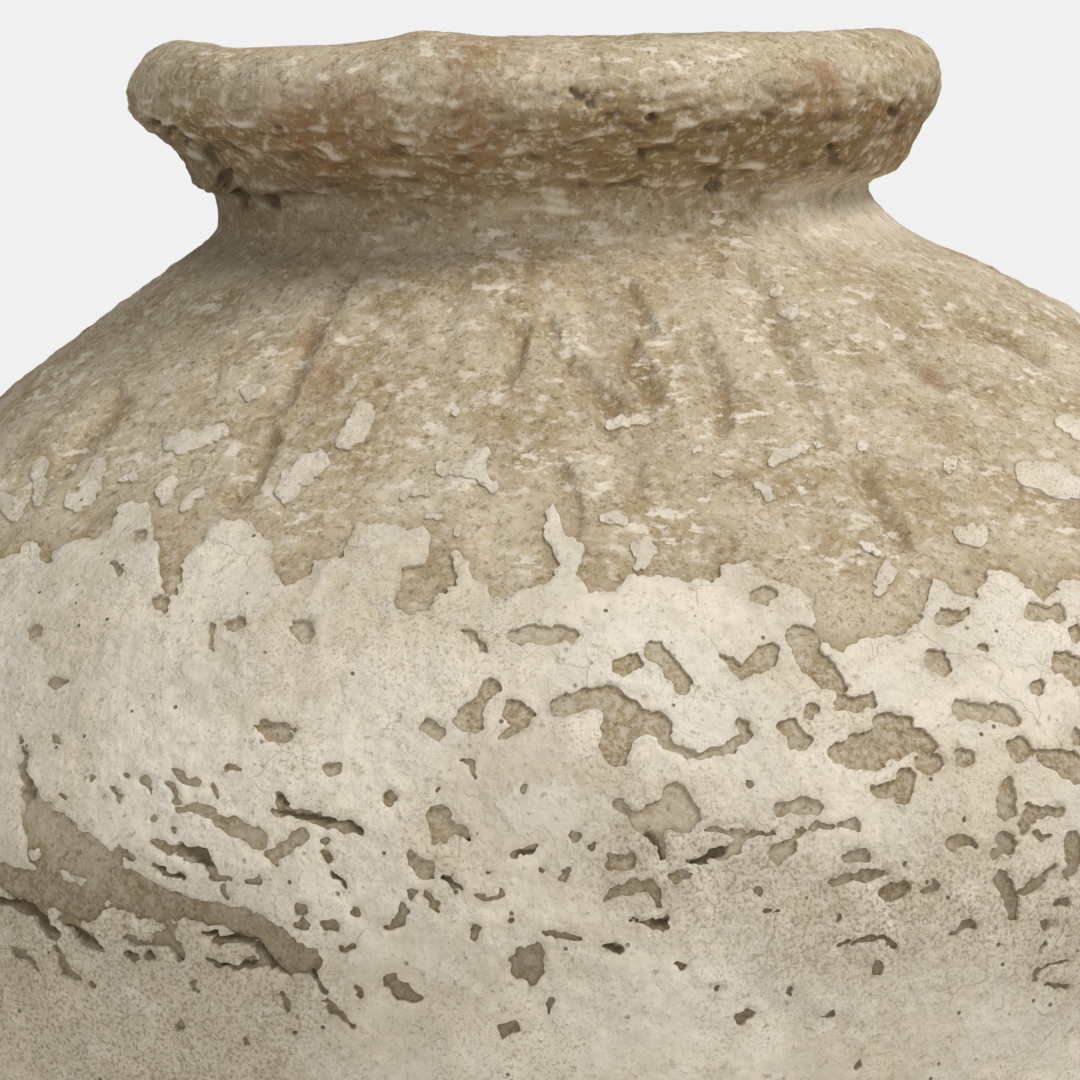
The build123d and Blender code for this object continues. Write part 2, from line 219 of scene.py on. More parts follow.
CHIPS = [
    [(118, 568, 5), (123, 576, 5)], [(142, 540, 8)], [(165, 608, 9)], [(38, 634, 8)],
    [(230, 628, 5), (240, 626, 6)], [(215, 628, 4), (212, 640, 3), (214, 652, 3)], [(303, 632, 12)],
    [(466, 634, 3), (476, 640, 4), (487, 652, 3)], [(515, 638, 8), (535, 637, 11), (570, 637, 8)],
    [(620, 668, 9), (632, 664, 10)], [(655, 652, 11), (668, 664, 10), (682, 684, 10)],
    [(720, 656, 3), (742, 672, 8), (765, 660, 13), (772, 650, 7)], [(752, 598, 6), (768, 598, 7)],
    [(800, 640, 14), (812, 665, 16), (840, 690, 8)], [(930, 660, 9), (942, 668, 10)],
    [(940, 620, 8), (960, 617, 6)], [(981, 650, 6)], [(1030, 614, 8), (1055, 615, 8)],
    [(1072, 635, 8), (1072, 647, 3)], [(1060, 665, 12), (1075, 672, 14)], [(60, 684, 7)],
    [(265, 728, 8), (283, 735, 12)],
    [(24, 738, 2), (26, 770, 5), (34, 800, 9), (45, 825, 20), (62, 850, 32), (92, 870, 30)],
    [(92, 870, 30), (125, 886, 20), (165, 902, 14), (205, 911, 11), (240, 918, 12), (268, 930, 10)],
    [(0, 872, 8), (20, 880, 14), (45, 892, 16)],
    [(0, 896, 5), (20, 905, 6), (45, 913, 7), (58, 932, 6)],
    [(60, 895, 12), (85, 908, 12), (120, 900, 8), (150, 912, 7), (175, 925, 4)],
    [(66, 916, 4), (80, 928, 7), (92, 938, 7), (104, 948, 3)],
    [(60, 945, 3), (66, 958, 4), (74, 970, 5), (82, 975, 3)],
    [(18, 947, 4), (30, 952, 4), (48, 972, 2)],
    [(205, 932, 3), (220, 938, 5), (240, 936, 5), (255, 942, 5), (268, 958, 5)],
    [(270, 935, 10), (280, 945, 18), (300, 955, 14), (315, 958, 9)],
    [(210, 957, 3), (225, 963, 3), (240, 967, 3), (252, 961, 4), (272, 962, 4)],
    [(272, 964, 4), (290, 970, 4), (305, 968, 4), (315, 972, 4), (327, 991, 3)],
    [(128, 937, 4), (150, 942, 3)], [(130, 953, 4), (135, 957, 4)], [(150, 955, 5), (157, 955, 3)],
    [(160, 940, 6), (170, 935, 8), (180, 950, 4), (181, 958, 3)],
    [(180, 811, 4), (200, 806, 6), (213, 815, 6)], [(222, 822, 7), (245, 830, 9), (262, 840, 8)],
    [(185, 850, 8), (205, 858, 9), (215, 868, 6)], [(120, 850, 5), (135, 857, 5)],
    [(158, 842, 4), (172, 850, 6)], [(160, 866, 3), (172, 873, 3), (185, 876, 3)],
    [(148, 782, 6), (152, 790, 3)], [(175, 773, 4), (188, 780, 6), (198, 784, 5)],
    [(170, 782, 3), (178, 792, 3), (178, 800, 3)], [(228, 769, 4), (243, 772, 3)],
    [(214, 785, 3), (220, 797, 3)], [(65, 795, 4)], [(95, 778, 4)], [(130, 774, 4)], [(157, 818, 4)],
    [(57, 740, 4)], [(175, 832, 4)], [(112, 790, 3), (124, 798, 3)], [(250, 881, 4), (262, 881, 4)],
    [(215, 876, 4), (230, 880, 3)], [(224, 886, 3), (230, 895, 3)], [(334, 769, 9)],
    [(280, 797, 5), (285, 805, 5)], [(275, 812, 4), (305, 815, 6), (325, 821, 6), (360, 830, 4)],
    [(303, 836, 8), (290, 846, 7), (274, 856, 9)], [(327, 840, 4)], [(328, 853, 4), (330, 862, 3)],
    [(334, 873, 3), (345, 882, 3), (354, 890, 2)], [(303, 909, 8)], [(356, 913, 6)],
    [(405, 910, 7), (400, 920, 6), (388, 927, 4)], [(389, 795, 6), (392, 802, 6)],
    [(428, 727, 8), (438, 734, 8)], [(470, 720, 15), (482, 700, 8), (492, 690, 9)],
    [(517, 715, 15), (527, 715, 9), (505, 738, 4)], [(463, 757, 3), (472, 765, 4), (477, 778, 3)],
    [(438, 791, 4)], [(523, 790, 5)], [(440, 815, 12), (440, 832, 11), (457, 826, 6), (468, 838, 3)],
    [(424, 868, 12), (412, 857, 4)], [(441, 876, 3), (453, 884, 4), (461, 886, 2)], [(411, 892, 5)],
    [(426, 893, 4), (434, 902, 4), (441, 911, 2)], [(478, 895, 4), (490, 899, 3), (502, 892, 4)],
    [(513, 856, 3), (527, 850, 4), (538, 845, 3)], [(490, 872, 3)],
    [(560, 708, 10), (585, 698, 10), (612, 700, 14), (625, 720, 20), (615, 745, 16), (618, 760, 8)],
    [(640, 722, 14), (660, 725, 10), (667, 745, 7), (700, 756, 4), (735, 746, 5), (746, 735, 7),
     (740, 722, 5)],
    [(790, 728, 11), (800, 740, 11)], [(810, 711, 9)],
    [(675, 795, 13), (685, 815, 17), (655, 815, 14), (640, 820, 10)],
    [(620, 805, 7), (630, 815, 5), (655, 832, 8), (663, 860, 2)],
    [(708, 829, 3), (725, 831, 4), (740, 835, 5), (760, 832, 4), (772, 833, 2)],
    [(742, 835, 5), (735, 848, 7), (718, 853, 6), (692, 862, 3)], [(612, 862, 9), (628, 862, 9)],
    [(608, 896, 3), (617, 890, 5), (632, 888, 6), (648, 885, 6), (657, 893, 6), (657, 902, 4)],
    [(675, 878, 6), (683, 874, 6)], [(595, 847, 5)], [(575, 838, 5)], [(568, 868, 3), (563, 880, 4)],
    [(543, 870, 4)], [(778, 855, 9), (790, 845, 8)], [(793, 835, 4), (805, 828, 4)],
    [(778, 810, 5), (800, 806, 7), (815, 808, 9)], [(750, 783, 4)], [(757, 891, 4)],
    [(762, 908, 3), (776, 908, 2)],
    [(835, 755, 10), (858, 752, 19), (885, 745, 18), (912, 740, 14), (927, 745, 10)],
    [(882, 722, 11), (905, 725, 10)], [(925, 762, 11), (934, 765, 9)],
    [(838, 705, 7), (855, 706, 6), (868, 702, 9)], [(878, 791, 7), (900, 790, 13), (905, 778, 10)],
    [(964, 757, 11)], [(962, 710, 12), (985, 715, 8), (1000, 712, 10), (1014, 720, 6)],
    [(1018, 750, 13)], [(1040, 756, 8), (1060, 762, 13), (1075, 770, 14)],
    [(1072, 730, 4), (1078, 742, 5)], [(1035, 688, 9)],
    [(1006, 783, 6), (1006, 800, 10), (1005, 812, 9)], [(1020, 830, 5), (1030, 812, 7), (1058, 812, 6)],
    [(1000, 835, 6), (1010, 845, 7), (995, 855, 5)], [(1035, 835, 5), (1045, 835, 4)],
    [(1070, 840, 10), (1072, 860, 8), (1065, 875, 5)], [(1000, 878, 8), (1010, 895, 8), (1012, 915, 5)],
    [(1025, 890, 6), (1040, 880, 5), (1050, 865, 4)], [(950, 845, 7), (965, 840, 6), (975, 847, 3)],
    [(845, 858, 5), (863, 856, 8)], [(833, 885, 5), (848, 877, 4), (868, 875, 7), (880, 873, 5)],
    [(888, 893, 9), (902, 889, 9)], [(918, 892, 3), (930, 887, 3), (940, 884, 3)],
    [(815, 827, 5), (830, 826, 4)], [(838, 824, 3), (850, 824, 6), (860, 825, 4)], [(903, 865, 3)],
    [(962, 820, 3)], [(1055, 903, 3), (1065, 901, 4)], [(838, 918, 5)],
    [(1042, 919, 4), (1043, 927, 4)], [(838, 944, 2), (860, 940, 3), (885, 937, 3), (892, 945, 3)],
    [(876, 966, 7)], [(955, 930, 4), (965, 925, 5), (973, 925, 4)], [(1044, 940, 3), (1040, 952, 3)],
    [(1031, 980, 2), (1035, 968, 2), (1045, 962, 2), (1065, 960, 2)], [(1043, 983, 2), (1062, 987, 3)],
    [(325, 922, 5), (335, 926, 6)], [(300, 924, 5), (308, 925, 5)], [(343, 948, 3), (355, 946, 3)],
    [(283, 992, 3), (288, 1002, 4), (290, 1010, 3)], [(328, 1000, 3), (335, 1010, 4), (355, 1026, 2)],
    [(360, 990, 5)], [(295, 1033, 3)], [(392, 980, 8), (400, 988, 9), (412, 995, 6), (420, 1000, 2)],
    [(475, 928, 5), (473, 935, 5)], [(525, 965, 16), (532, 972, 12), (535, 948, 8)],
    [(503, 1027, 7), (515, 1028, 7)], [(511, 921, 4)], [(603, 944, 3), (612, 945, 5), (617, 948, 4)],
    [(545, 932, 4), (557, 934, 4), (580, 937, 3)],
    [(630, 920, 2), (650, 921, 3), (662, 925, 6), (668, 920, 5)], [(678, 962, 4), (683, 965, 4)],
    [(716, 985, 4)], [(738, 1017, 5), (747, 1012, 5)], [(790, 992, 4)],
    [(549, 1001, 5), (549, 1008, 3)], [(856, 1063, 6)], [(940, 1062, 3)], [(182, 1024, 5)],
    [(248, 1043, 4)], [(68, 1067, 3)], [(95, 984, 4)], [(195, 986, 4)],
    [(825, 1014, 3), (830, 1010, 3)],
]
# Furrows in the mud, deepest along the middle of each stroke
FURROWS = [
    [(745, 262, 6), (765, 290, 8), (770, 310, 8), (785, 340, 9), (800, 370, 9), (812, 400, 8),
     (830, 440, 6)],
    [(628, 285, 5), (642, 312, 6), (650, 330, 5)], [(630, 345, 6), (640, 370, 9), (655, 392, 6)],
    [(550, 325, 5), (558, 350, 6), (575, 366, 7), (590, 385, 7), (612, 402, 8), (606, 430, 6)],
    [(522, 330, 5), (515, 360, 7), (503, 384, 5)],
    [(352, 272, 5), (335, 297, 6), (312, 330, 6), (296, 362, 5)],
    [(298, 360, 6), (285, 395, 7), (268, 412, 5)],
    [(945, 298, 7), (970, 320, 9), (1000, 335, 8), (1040, 362, 5)],
    [(895, 335, 6), (920, 362, 10), (945, 382, 8)], [(270, 440, 8), (255, 470, 9), (235, 500, 8)],
    [(120, 400, 7), (85, 440, 8), (60, 470, 6)], [(700, 330, 6), (722, 380, 8), (722, 425, 8)],
    [(560, 470, 7), (570, 500, 9), (575, 530, 7)], [(860, 470, 7), (880, 510, 9), (905, 545, 8)],
]
# Pits in the lip, and stains where the clay shows through the mud
PITS = [
    [(155, 123, 4)], [(166, 133, 5)], [(182, 146, 4)], [(203, 157, 6), (207, 166, 4)], [(225, 179, 6)],
    [(243, 196, 8)], [(272, 200, 8)], [(575, 92, 5), (583, 98, 5)], [(592, 105, 4)], [(653, 120, 5)],
    [(642, 156, 5)], [(714, 187, 8)], [(830, 146, 4)], [(894, 113, 5)],
]
STAINS = [
    [(290, 110, 22), (305, 135, 26)], [(345, 105, 16), (365, 110, 14)],
    [(462, 100, 14), (468, 140, 20)], [(300, 165, 14), (370, 162, 16)], [(815, 78, 20), (822, 100, 18)],
    [(895, 118, 14)], [(470, 45, 16), (465, 60, 14)], [(312, 338, 10)], [(935, 378, 12)],
    [(325, 382, 16)],
]
# Deep lines in the bare patches, where the mud has torn, darkened with painted shadow
DEEP = [
    [(0, 897, 4), (30, 905, 4), (50, 925, 4), (75, 930, 4), (105, 947, 3)],
    [(17, 947, 2), (35, 957, 3), (50, 970, 3), (67, 995, 2)],
    [(125, 952, 2), (150, 952, 3), (180, 962, 2)],
    [(205, 932, 2), (225, 935, 3), (255, 940, 3), (275, 965, 3), (285, 975, 3)],
    [(205, 957, 2), (225, 965, 3), (255, 962, 2)], [(310, 970, 2), (325, 990, 3)],
    [(325, 1002, 2), (355, 1025, 2)], [(285, 990, 2), (290, 1010, 3)],
    [(235, 797, 2), (280, 795, 2), (285, 803, 3)],
    [(280, 812, 2), (320, 818, 3), (350, 820, 3), (362, 832, 3)],
    [(185, 845, 6), (205, 857, 8), (220, 865, 5)], [(160, 865, 2), (185, 878, 2)],
    [(22, 740, 2), (25, 770, 3), (32, 795, 4)], [(330, 870, 2), (355, 890, 2)],
    [(462, 846, 2), (477, 836, 3)], [(439, 875, 2), (461, 887, 2)], [(649, 834, 4), (663, 860, 2)],
    [(693, 863, 3), (712, 856, 6), (724, 848, 5)], [(654, 923, 2), (671, 921, 3)],
    [(516, 856, 2), (564, 842, 2)], [(600, 943, 2), (620, 949, 3)],
]
# Rings round blisters of the plaster, as x, y and radius, and the width of a ring
BLISTERS = [
    (252, 672, 7), (112, 745, 9), (160, 750, 7), (183, 750, 9), (40, 695, 8), (1003, 630, 5), (15, 1003, 9),
]
BLISTER_WIDTH = 1.8
# Height of the rim's upper outline, as picture x and pixels above its straight line
RIM_LINE = [
    (127, 0), (180, 1), (218, -2), (232, -9), (300, -9), (340, -6), (380, 0), (420, 6), (460, 3), (500, -2),
    (560, -4), (620, -4), (640, -2), (700, -4), (760, -3), (840, -1), (940, 0),
]
RIM_PIXELS_PER_MM = 4.5
# Soiled stretches of the plaster, as wide soft strokes
SOIL = [
    [(0, 950, 45), (60, 1000, 60), (130, 1045, 70), (210, 1075, 60)],
    [(110, 925, 22), (200, 960, 22), (290, 1000, 20)], [(690, 880, 22), (760, 865, 20)],
    [(820, 925, 34), (900, 915, 34), (1000, 905, 34), (1060, 935, 34)],
    [(640, 850, 20), (700, 850, 14)],
]

Surface = namedtuple("Surface", "base normal azimuth arc")
Coat = namedtuple("Coat", "place normal marks")
Cover = namedtuple("Cover", "coat flakes edge")
Finish = namedtuple("Finish", "material tree shader place")


def hex_colour(code):
    """Linear colour with alpha, from an sRGB hex code."""
    shares = [int(code[start:start + 2], 16) / 255 for start in (1, 3, 5)]
    linear = [s / 12.92 if s <= 0.04045 else ((s + 0.055) / 1.055) ** 2.4 for s in shares]
    return (*linear, 1.0)


def length(name, description, millimetres):
    """Property for a length of the pot."""
    return bpy.props.FloatProperty(name=name, description=description, default=millimetres * MM,
                                   min=0.0, unit="LENGTH", precision=4)


def colour(name, description, code):
    """Property for a colour of the pot or stage."""
    return bpy.props.FloatVectorProperty(name=name, description=description, default=hex_colour(code),
                                         size=4, min=0.0, max=1.0, subtype="COLOR")


def tilt(name, description, degrees):
    """Property for an angle of the pot or camera."""
    return bpy.props.FloatProperty(name=name, description=description, default=math.radians(degrees),
                                   subtype="ANGLE")


class UrnSizes(bpy.types.PropertyGroup):
    """Sizes over the mud coat, which follow the solids of the pot."""
    foot_radius: length("Foot radius", "Radius of the body where it stands", 118.0)
    foot_to_belly: length("Foot to belly", "Height of the widest circle", 194.0)
    belly_radius: length("Belly radius", "Radius of the widest circle", 189.0)
    belly_bend: length("Belly bend", "Radius of the bend from belly to shoulder", 75.0)
    belly_to_throat: length("Belly to throat", "Rise of the shoulder along its own axis", 117.0)
    throat_radius: length("Throat radius", "Radius at the narrowest circle", 76.5)
    throat_bend: length("Throat bend", "Radius of the hollow under the neck", 6.0)
    collar_height: length("Collar height", "Rise from the throat to the top of the lip", 38.5)
    collar_bend: length("Collar bend", "Radius of the hollow over the throat", 4.0)
    lip_radius: length("Lip radius", "Outside radius of the rolled lip", 93.5)
    lip_bead: length("Lip bead", "Radius of the lip's round section", 12.3)
    mud_stop: length("Mud stop", "Height at which the mud coat ends over the foot", 3.0)
    plaster_stop: length("Plaster stop", "Height at which the plaster ends over the foot", 7.0)
    plaster_thickness: length("Plaster thickness", "Thickness of the lime plaster", 0.8)
    shoulder_lean: tilt("Shoulder lean", "Lean of the shoulder to the left", 3.4)
    rim_tilt: tilt("Rim tilt", "Tilt that the rim keeps", 1.4)


class UrnColours(bpy.types.PropertyGroup):
    """Colours of the coats, the clay and the floor."""
    mud_ground: colour("Mud", "Dried mud coat", "#CABB9E")
    mud_warm: colour("Warm mud", "Browner clouds in the mud", "#AC9874")
    mud_dark: colour("Mud grains", "Dark grains in the mud", "#705D3E")
    # Also painted light: the throat's lit right-hand side and highlights on the wrinkle ridges
    mud_lime_and_light: colour("Lime in the mud", "Lime wiped over the mud, and painted light", "#DFD4BF")
    # Painted shade, with some dirt, in the throat; also the darker mud in the chips
    mud_shade: colour("Painted shade on mud", "Painted shade and dirt in the throat, darker mud in the chips", "#6C5D47")
    # Warm brown mud, also used for painted shade under the lip and in the throat
    mud_brown_and_shade: colour("Earth", "Warm brown under the lip", "#7C5E2C")
    # Painted shade in hollows, pits, tears and wrinkle troughs; also the plaster's pinholes
    mud_hollow_shade: colour("Mud hollows", "Hollows, pits and cracks", "#4A3B25")
    mud_stain: colour("Clay stain", "Terracotta showing through the mud", "#8F5F3E")
    plaster_pale: colour("Plaster", "Clean lime plaster", "#EADFCC")
    plaster_white: colour("Smooth plaster", "Smooth patches of lime", "#E9E2D6")
    plaster_shade: colour("Plaster shade", "Weathered clouds in the plaster", "#C6B9A0")
    plaster_warm: colour("Warm plaster", "Yellowed patches of plaster", "#CDBD9C")
    plaster_soil: colour("Plaster soil", "Soil on the lower plaster", "#B0A186")
    plaster_dirt: colour("Plaster dirt", "Dirt along edges and cracks", "#8B7A5C")
    clay: colour("Clay", "Fired terracotta", "#A06A46")
    clay_dark: colour("Dark clay", "Smoked patches of terracotta", "#6E4A33")
    floor: colour("Floor", "Plain pale floor", "#EDEDEC")


class UrnView(bpy.types.PropertyGroup):
    """Place of the camera, which also places the marks on the front of the pot."""
    lens: bpy.props.FloatProperty(name="Lens", default=80.2, min=1.0,
                                  description="Focal length for a 36 mm sensor, in millimetres")
    across: length("Across", "Distance of the camera to the left of the axis", 6.6)
    away: length("Away", "Distance of the camera in front of the axis", 570.0)
    eye: length("Eye", "Height of the camera", 350.0)
    pitch: tilt("Pitch", "Downward tilt of the camera", 12.0)


def size(name):
    """Length property of the pot, in millimetres."""
    return getattr(bpy.context.scene.urn_sizes, name) / MM


def tint(name):
    """Colour property, linear."""
    return tuple(getattr(bpy.context.scene.urn_colours, name))


# Smooth seeded noise on points in millimetres

def mixed_bits(cells, seed):
    """Whole numbers that look random, one for each lattice cell."""
    mixed = cells[:, 0] * 374761393 + cells[:, 1] * 668265263 + cells[:, 2] * 974634777 + seed * 69069069
    mixed = (mixed ^ (mixed >> 13)) * 1274126177
    return (mixed ^ (mixed >> 16)) & 0xFFFFFF


def byte_triples(bits):
    """Lowest three bytes of each whole number."""
    return np.stack([bits & 0xFF, (bits >> 8) & 0xFF, (bits >> 16) & 0xFF], axis=1)


def noise(points, spacing, seed):
    """Gradient noise from about -1 to 1, with bumps about one spacing apart."""
    cells = points.reshape(-1, 3) / spacing
    corner = np.floor(cells).astype(np.int64)
    inside = cells - corner
    fade = inside ** 3 * (inside * (inside * 6 - 15) + 10)
    total = np.zeros(len(cells))
    for offset in itertools.product((0, 1), repeat=3):
        bits = mixed_bits(corner + offset, seed)
        slope = byte_triples(bits) / 127.5 - 1
        weight = np.prod(np.where(offset, fade, 1 - fade), axis=1)
        total += weight * np.sum(slope * (inside - offset), axis=1)
    return (1.5 * total).reshape(points.shape[:-1])


def uneven(points, layers):
    """Sum of layers of noise, each of a strength, a spacing and a seed."""
    return sum(strength * noise(points, spacing, seed) for strength, spacing, seed in layers)


def dimples(points, spacing, seed):
    """Share from 0 to 1 that is high near seeded spots, about one to each cell of the spacing."""
    cells = points.reshape(-1, 3) / spacing
    corner = np.floor(cells).astype(np.int64)
    nearest = np.full(len(cells), 9.0)
    for offset in itertools.product((-1, 0, 1), repeat=3):
        neighbour = corner + offset
        bits = mixed_bits(neighbour, seed)
        spot = neighbour + byte_triples(bits) / 255
        nearest = np.minimum(nearest, np.sum((cells - spot) ** 2, axis=1))
    return np.exp(-nearest / DIMPLE_SPREAD).reshape(points.shape[:-1])


def smooth_step(value, low, high):
    """Share that rises smoothly from 0 at the low value to 1 at the high one."""
    share = np.clip((value - low) / (high - low), 0, 1)
    return share * share * (3 - 2 * share)


# Section of the pot, drawn as rows of radius, height and outward normal

def arc_rows(centre, radius, start, end, spacing):
    """Rows along a round stretch; a hollow one has a negative radius."""
    count = max(3, round(abs(math.radians(end - start) * radius) / spacing) + 1)
    turn = np.radians(np.linspace(start, end, count))
    normal = np.stack([np.cos(turn), np.sin(turn)], axis=1)
    return np.hstack([np.array(centre) + radius * normal, normal])


def joined_rows(first, last, spacing):
    """Rows of two bends and of the straight that joins them."""
    start = first[-1]
    end = last[0]
    count = max(3, round(np.hypot(*(end - start)[:2]) / spacing) + 1)
    share = np.linspace(0, 1, count)[1:-1, None]
    return np.vstack([first, start + share * (end - start), last])


def row_arc(rows):
    """Length along the section at each row."""
    steps = np.hypot(*np.diff(rows[:, :2], axis=0).T)
    return np.concatenate([[0], np.cumsum(steps)])


def lean_turn(angle):
    """Rotation that raises the right-hand side of the pot."""
    cosine = math.cos(angle)
    sine = math.sin(angle)
    return np.array([[cosine, 0, -sine], [0, 1, 0], [sine, 0, cosine]])


def heading(azimuth):
    """Level unit vectors at azimuths, in radians, from the front towards the right-hand side."""
    return np.stack([np.sin(azimuth), -np.cos(azimuth)], axis=-1)


def zone_normals(rise, azimuth):
    """Outward normals of a round zone at angles of rise, in radians, and azimuths."""
    return np.concatenate([np.cos(rise)[..., None] * heading(azimuth), np.sin(rise)[..., None]], axis=2)


def tangent_angle(hollow, bulge, reach, side):
    """Direction of the normal of the straight that leaves a hollow bend and joins a bulging one."""
    across = hollow[0] - bulge[0]
    along = hollow[1] - bulge[1]
    spread = math.degrees(math.acos(reach / math.hypot(across, along)))
    return math.degrees(math.atan2(along, across)) + side * spread


def columns():
    """Azimuths in radians of the columns of every coat, finest at the front."""
    front = np.arange(-FRONT_HALF, FRONT_HALF, FRONT_STEP)
    right = np.arange(FRONT_HALF, SIDE_HALF, SIDE_STEP)
    back = np.arange(SIDE_HALF, 360 - SIDE_HALF, BACK_STEP)
    left = np.arange(360 - SIDE_HALF, 360 - FRONT_HALF, SIDE_STEP)
    return np.radians(np.concatenate([front, right, back, left]))


def shoulder_columns():
    """Azimuths about the leaning axis that meet the upright columns along the belly seam."""
    lean = bpy.context.scene.urn_sizes.shoulder_lean
    level = columns()
    return np.arctan2(np.sin(level) / math.cos(lean), np.cos(level))


def spun(rows, azimuth, turn, centre):
    """Surface of revolution from rows, turned and set at a centre."""
    ways = heading(azimuth)
    base = np.empty((len(rows), len(azimuth), 3))
    normal = np.empty_like(base)
    base[..., :2] = rows[:, None, 0:1] * ways
    base[..., 2] = rows[:, None, 1]
    normal[..., :2] = rows[:, None, 2:3] * ways
    normal[..., 2] = rows[:, None, 3]
    return base @ turn.T + centre, normal @ turn.T


@functools.cache
def shoulder_surface():
    """Mud surface from the belly seam up to the throat."""
    bend_centre = (size("belly_radius") - size("belly_bend"), 0)
    hollow_centre = (size("throat_radius") + size("throat_bend"), size("belly_to_throat"))
    slope = tangent_angle(hollow_centre, bend_centre, size("belly_bend") + size("throat_bend"), -1)
    bend = arc_rows(bend_centre, size("belly_bend"), 0, slope, FINE_ROW)
    hollow = arc_rows(hollow_centre, -size("throat_bend"), slope, 0, SLOPE_ROW)
    rows = joined_rows(bend, hollow, SLOPE_ROW)
    turn = lean_turn(bpy.context.scene.urn_sizes.shoulder_lean)
    base, normal = spun(rows, shoulder_columns(), turn, np.array([0, 0, size("foot_to_belly")]))
    return Surface(base, normal, columns(), row_arc(rows))


@functools.cache
def belly_surface():
    """Mud surface from just over the foot up to the belly seam."""
    lean = bpy.context.scene.urn_sizes.shoulder_lean
    zone = lean + BELLY_MARGIN
    radius = size("belly_radius")
    level = size("foot_to_belly")
    start = (radius * math.cos(zone), level - radius * math.sin(zone))
    chord = (start[0] - size("foot_radius"), start[1])
    inward = (-math.cos(zone), math.sin(zone))
    sweep = -(chord[0] ** 2 + chord[1] ** 2) / (2 * (chord[0] * inward[0] + chord[1] * inward[1]))
    centre = (start[0] + sweep * inward[0], start[1] + sweep * inward[1])
    lowest = math.degrees(math.asin((size("mud_stop") - centre[1]) / sweep))
    low_rows = arc_rows(centre, sweep, lowest, -math.degrees(zone), LOW_ROW)[:-1]
    low_base, low_normal = spun(low_rows, columns(), np.eye(3), np.zeros(3))
    share = np.linspace(0, 1, BELLY_ZONE_ROWS)[:, None]
    seam = np.arctan(math.tan(lean) * np.sin(columns()))
    normal = zone_normals(-zone + share * (seam + zone), columns())
    base = radius * normal + np.array([0, 0, level])
    low_arc = row_arc(low_rows)
    arc = np.concatenate([low_arc, low_arc[-1] + LOW_ROW + share[:, 0] * radius * zone])
    return Surface(np.vstack([low_base, base]), np.vstack([low_normal, normal]), columns(), arc)


@functools.cache
def collar_surface():
    """Mud surface from the throat up the flare and over the lip into the mouth."""
    sizes = bpy.context.scene.urn_sizes
    neck = size("throat_radius")
    lift = size("collar_bend")
    bead = size("lip_bead")
    bead_centre = (size("lip_radius") - bead, size("collar_height") - bead)
    zone = sizes.shoulder_lean - sizes.rim_tilt + THROAT_MARGIN
    flare_centre = ((neck + lift) * math.cos(zone), (neck + lift) * math.sin(zone))
    flare = tangent_angle(flare_centre, bead_centre, bead + lift, 1)
    bend = arc_rows(flare_centre, -lift, math.degrees(zone), flare, FINE_ROW)[1:]
    roll = arc_rows(bead_centre, bead, flare, MOUTH_TURN, FINE_ROW)
    rows = joined_rows(bend, roll, FINE_ROW)
    turn = lean_turn(sizes.rim_tilt)
    centre = lean_turn(sizes.shoulder_lean) @ np.array([0, 0, size("belly_to_throat")])
    centre[2] += size("foot_to_belly")
    throat = (shoulder_surface().base[-1] - centre) @ turn
    azimuth = np.arctan2(throat[:, 0], -throat[:, 1])
    upper, upper_normal = spun(rows, azimuth, turn, centre)
    seam = np.arctan2(throat[:, 2], np.hypot(throat[:, 0], throat[:, 1]))
    share = np.linspace(0, 1, THROAT_ZONE_ROWS)[:, None]
    normal = zone_normals(seam + share * (zone - seam), azimuth)
    base = (neck * normal) @ turn.T + centre
    arc = np.concatenate([share[:, 0] * neck * zone, neck * zone + FINE_ROW + row_arc(rows)])
    return Surface(np.vstack([base, upper]), np.vstack([normal @ turn.T, upper_normal]), columns(), arc)


# Marks on the surface: picture pixels at the front, millimetres along the wall elsewhere

def eye_point():
    """Place of the camera in millimetres."""
    view = bpy.context.scene.urn_view
    return np.array([-view.across, -view.away, view.eye]) / MM


def picture_points(points):
    """Picture pixels at which the camera sees points of the pot."""
    view = bpy.context.scene.urn_view
    ahead = np.array([0, math.cos(view.pitch), -math.sin(view.pitch)])
    upward = np.array([0, math.sin(view.pitch), math.cos(view.pitch)])
    ray = points - eye_point()
    depth = ray @ ahead
    scale = view.lens / SENSOR * PICTURE
    across = MIDDLE + scale * ray[..., 0] / depth
    down = MIDDLE - scale * (ray @ upward) / depth
    return np.stack([across, down], axis=-1)


def on_front(surface):
    """Share of each point that looks towards the camera."""
    ray = eye_point() - surface.base
    facing = np.sum(ray * surface.normal, axis=-1) / np.linalg.norm(ray, axis=-1)
    return smooth_step(facing, *FACING_FADE)


def in_picture(surface):
    """Share of each point that the marks of the front cover, fading out past the picture's edges."""
    pixels = picture_points(surface.base)
    inside = np.minimum(np.minimum(pixels[..., 0], PICTURE - pixels[..., 0]), PICTURE - pixels[..., 1])
    return smooth_step(inside, -PICTURE_FADE, 0) * on_front(surface)


def stroke_depth(points, strokes, reach):
    """Depth of points inside the nearest stroke; outside it is negative and stops at the reach."""
    flat = points.reshape(-1, 2)
    depth = np.full(len(flat), -float(reach))
    for stroke in strokes:
        marks = np.array(stroke, float)
        spread = marks[:, 2].max() + reach
        low = marks[:, :2].min(axis=0) - spread
        high = marks[:, :2].max(axis=0) + spread
        near = np.flatnonzero(np.all((flat > low) & (flat < high), axis=1))
        if len(marks) == 1:
            marks = np.vstack([marks, marks])
        for start, end in zip(marks[:-1], marks[1:]):
            way = end[:2] - start[:2]
            along = np.clip((flat[near] - start[:2]) @ way / max(way @ way, 1e-9), 0, 1)
            gap = np.hypot(*(flat[near] - start[:2] - along[:, None] * way).T)
            depth[near] = np.maximum(depth[near], start[2] + along * (end[2] - start[2]) - gap)
    return depth.reshape(points.shape[:-1])


def stroke_share(points, strokes, reach, start, full):
    """Share from 0 to 1 to which strokes with soft outlines cover points."""
    return smooth_step(stroke_depth(points, strokes, reach), start, full)


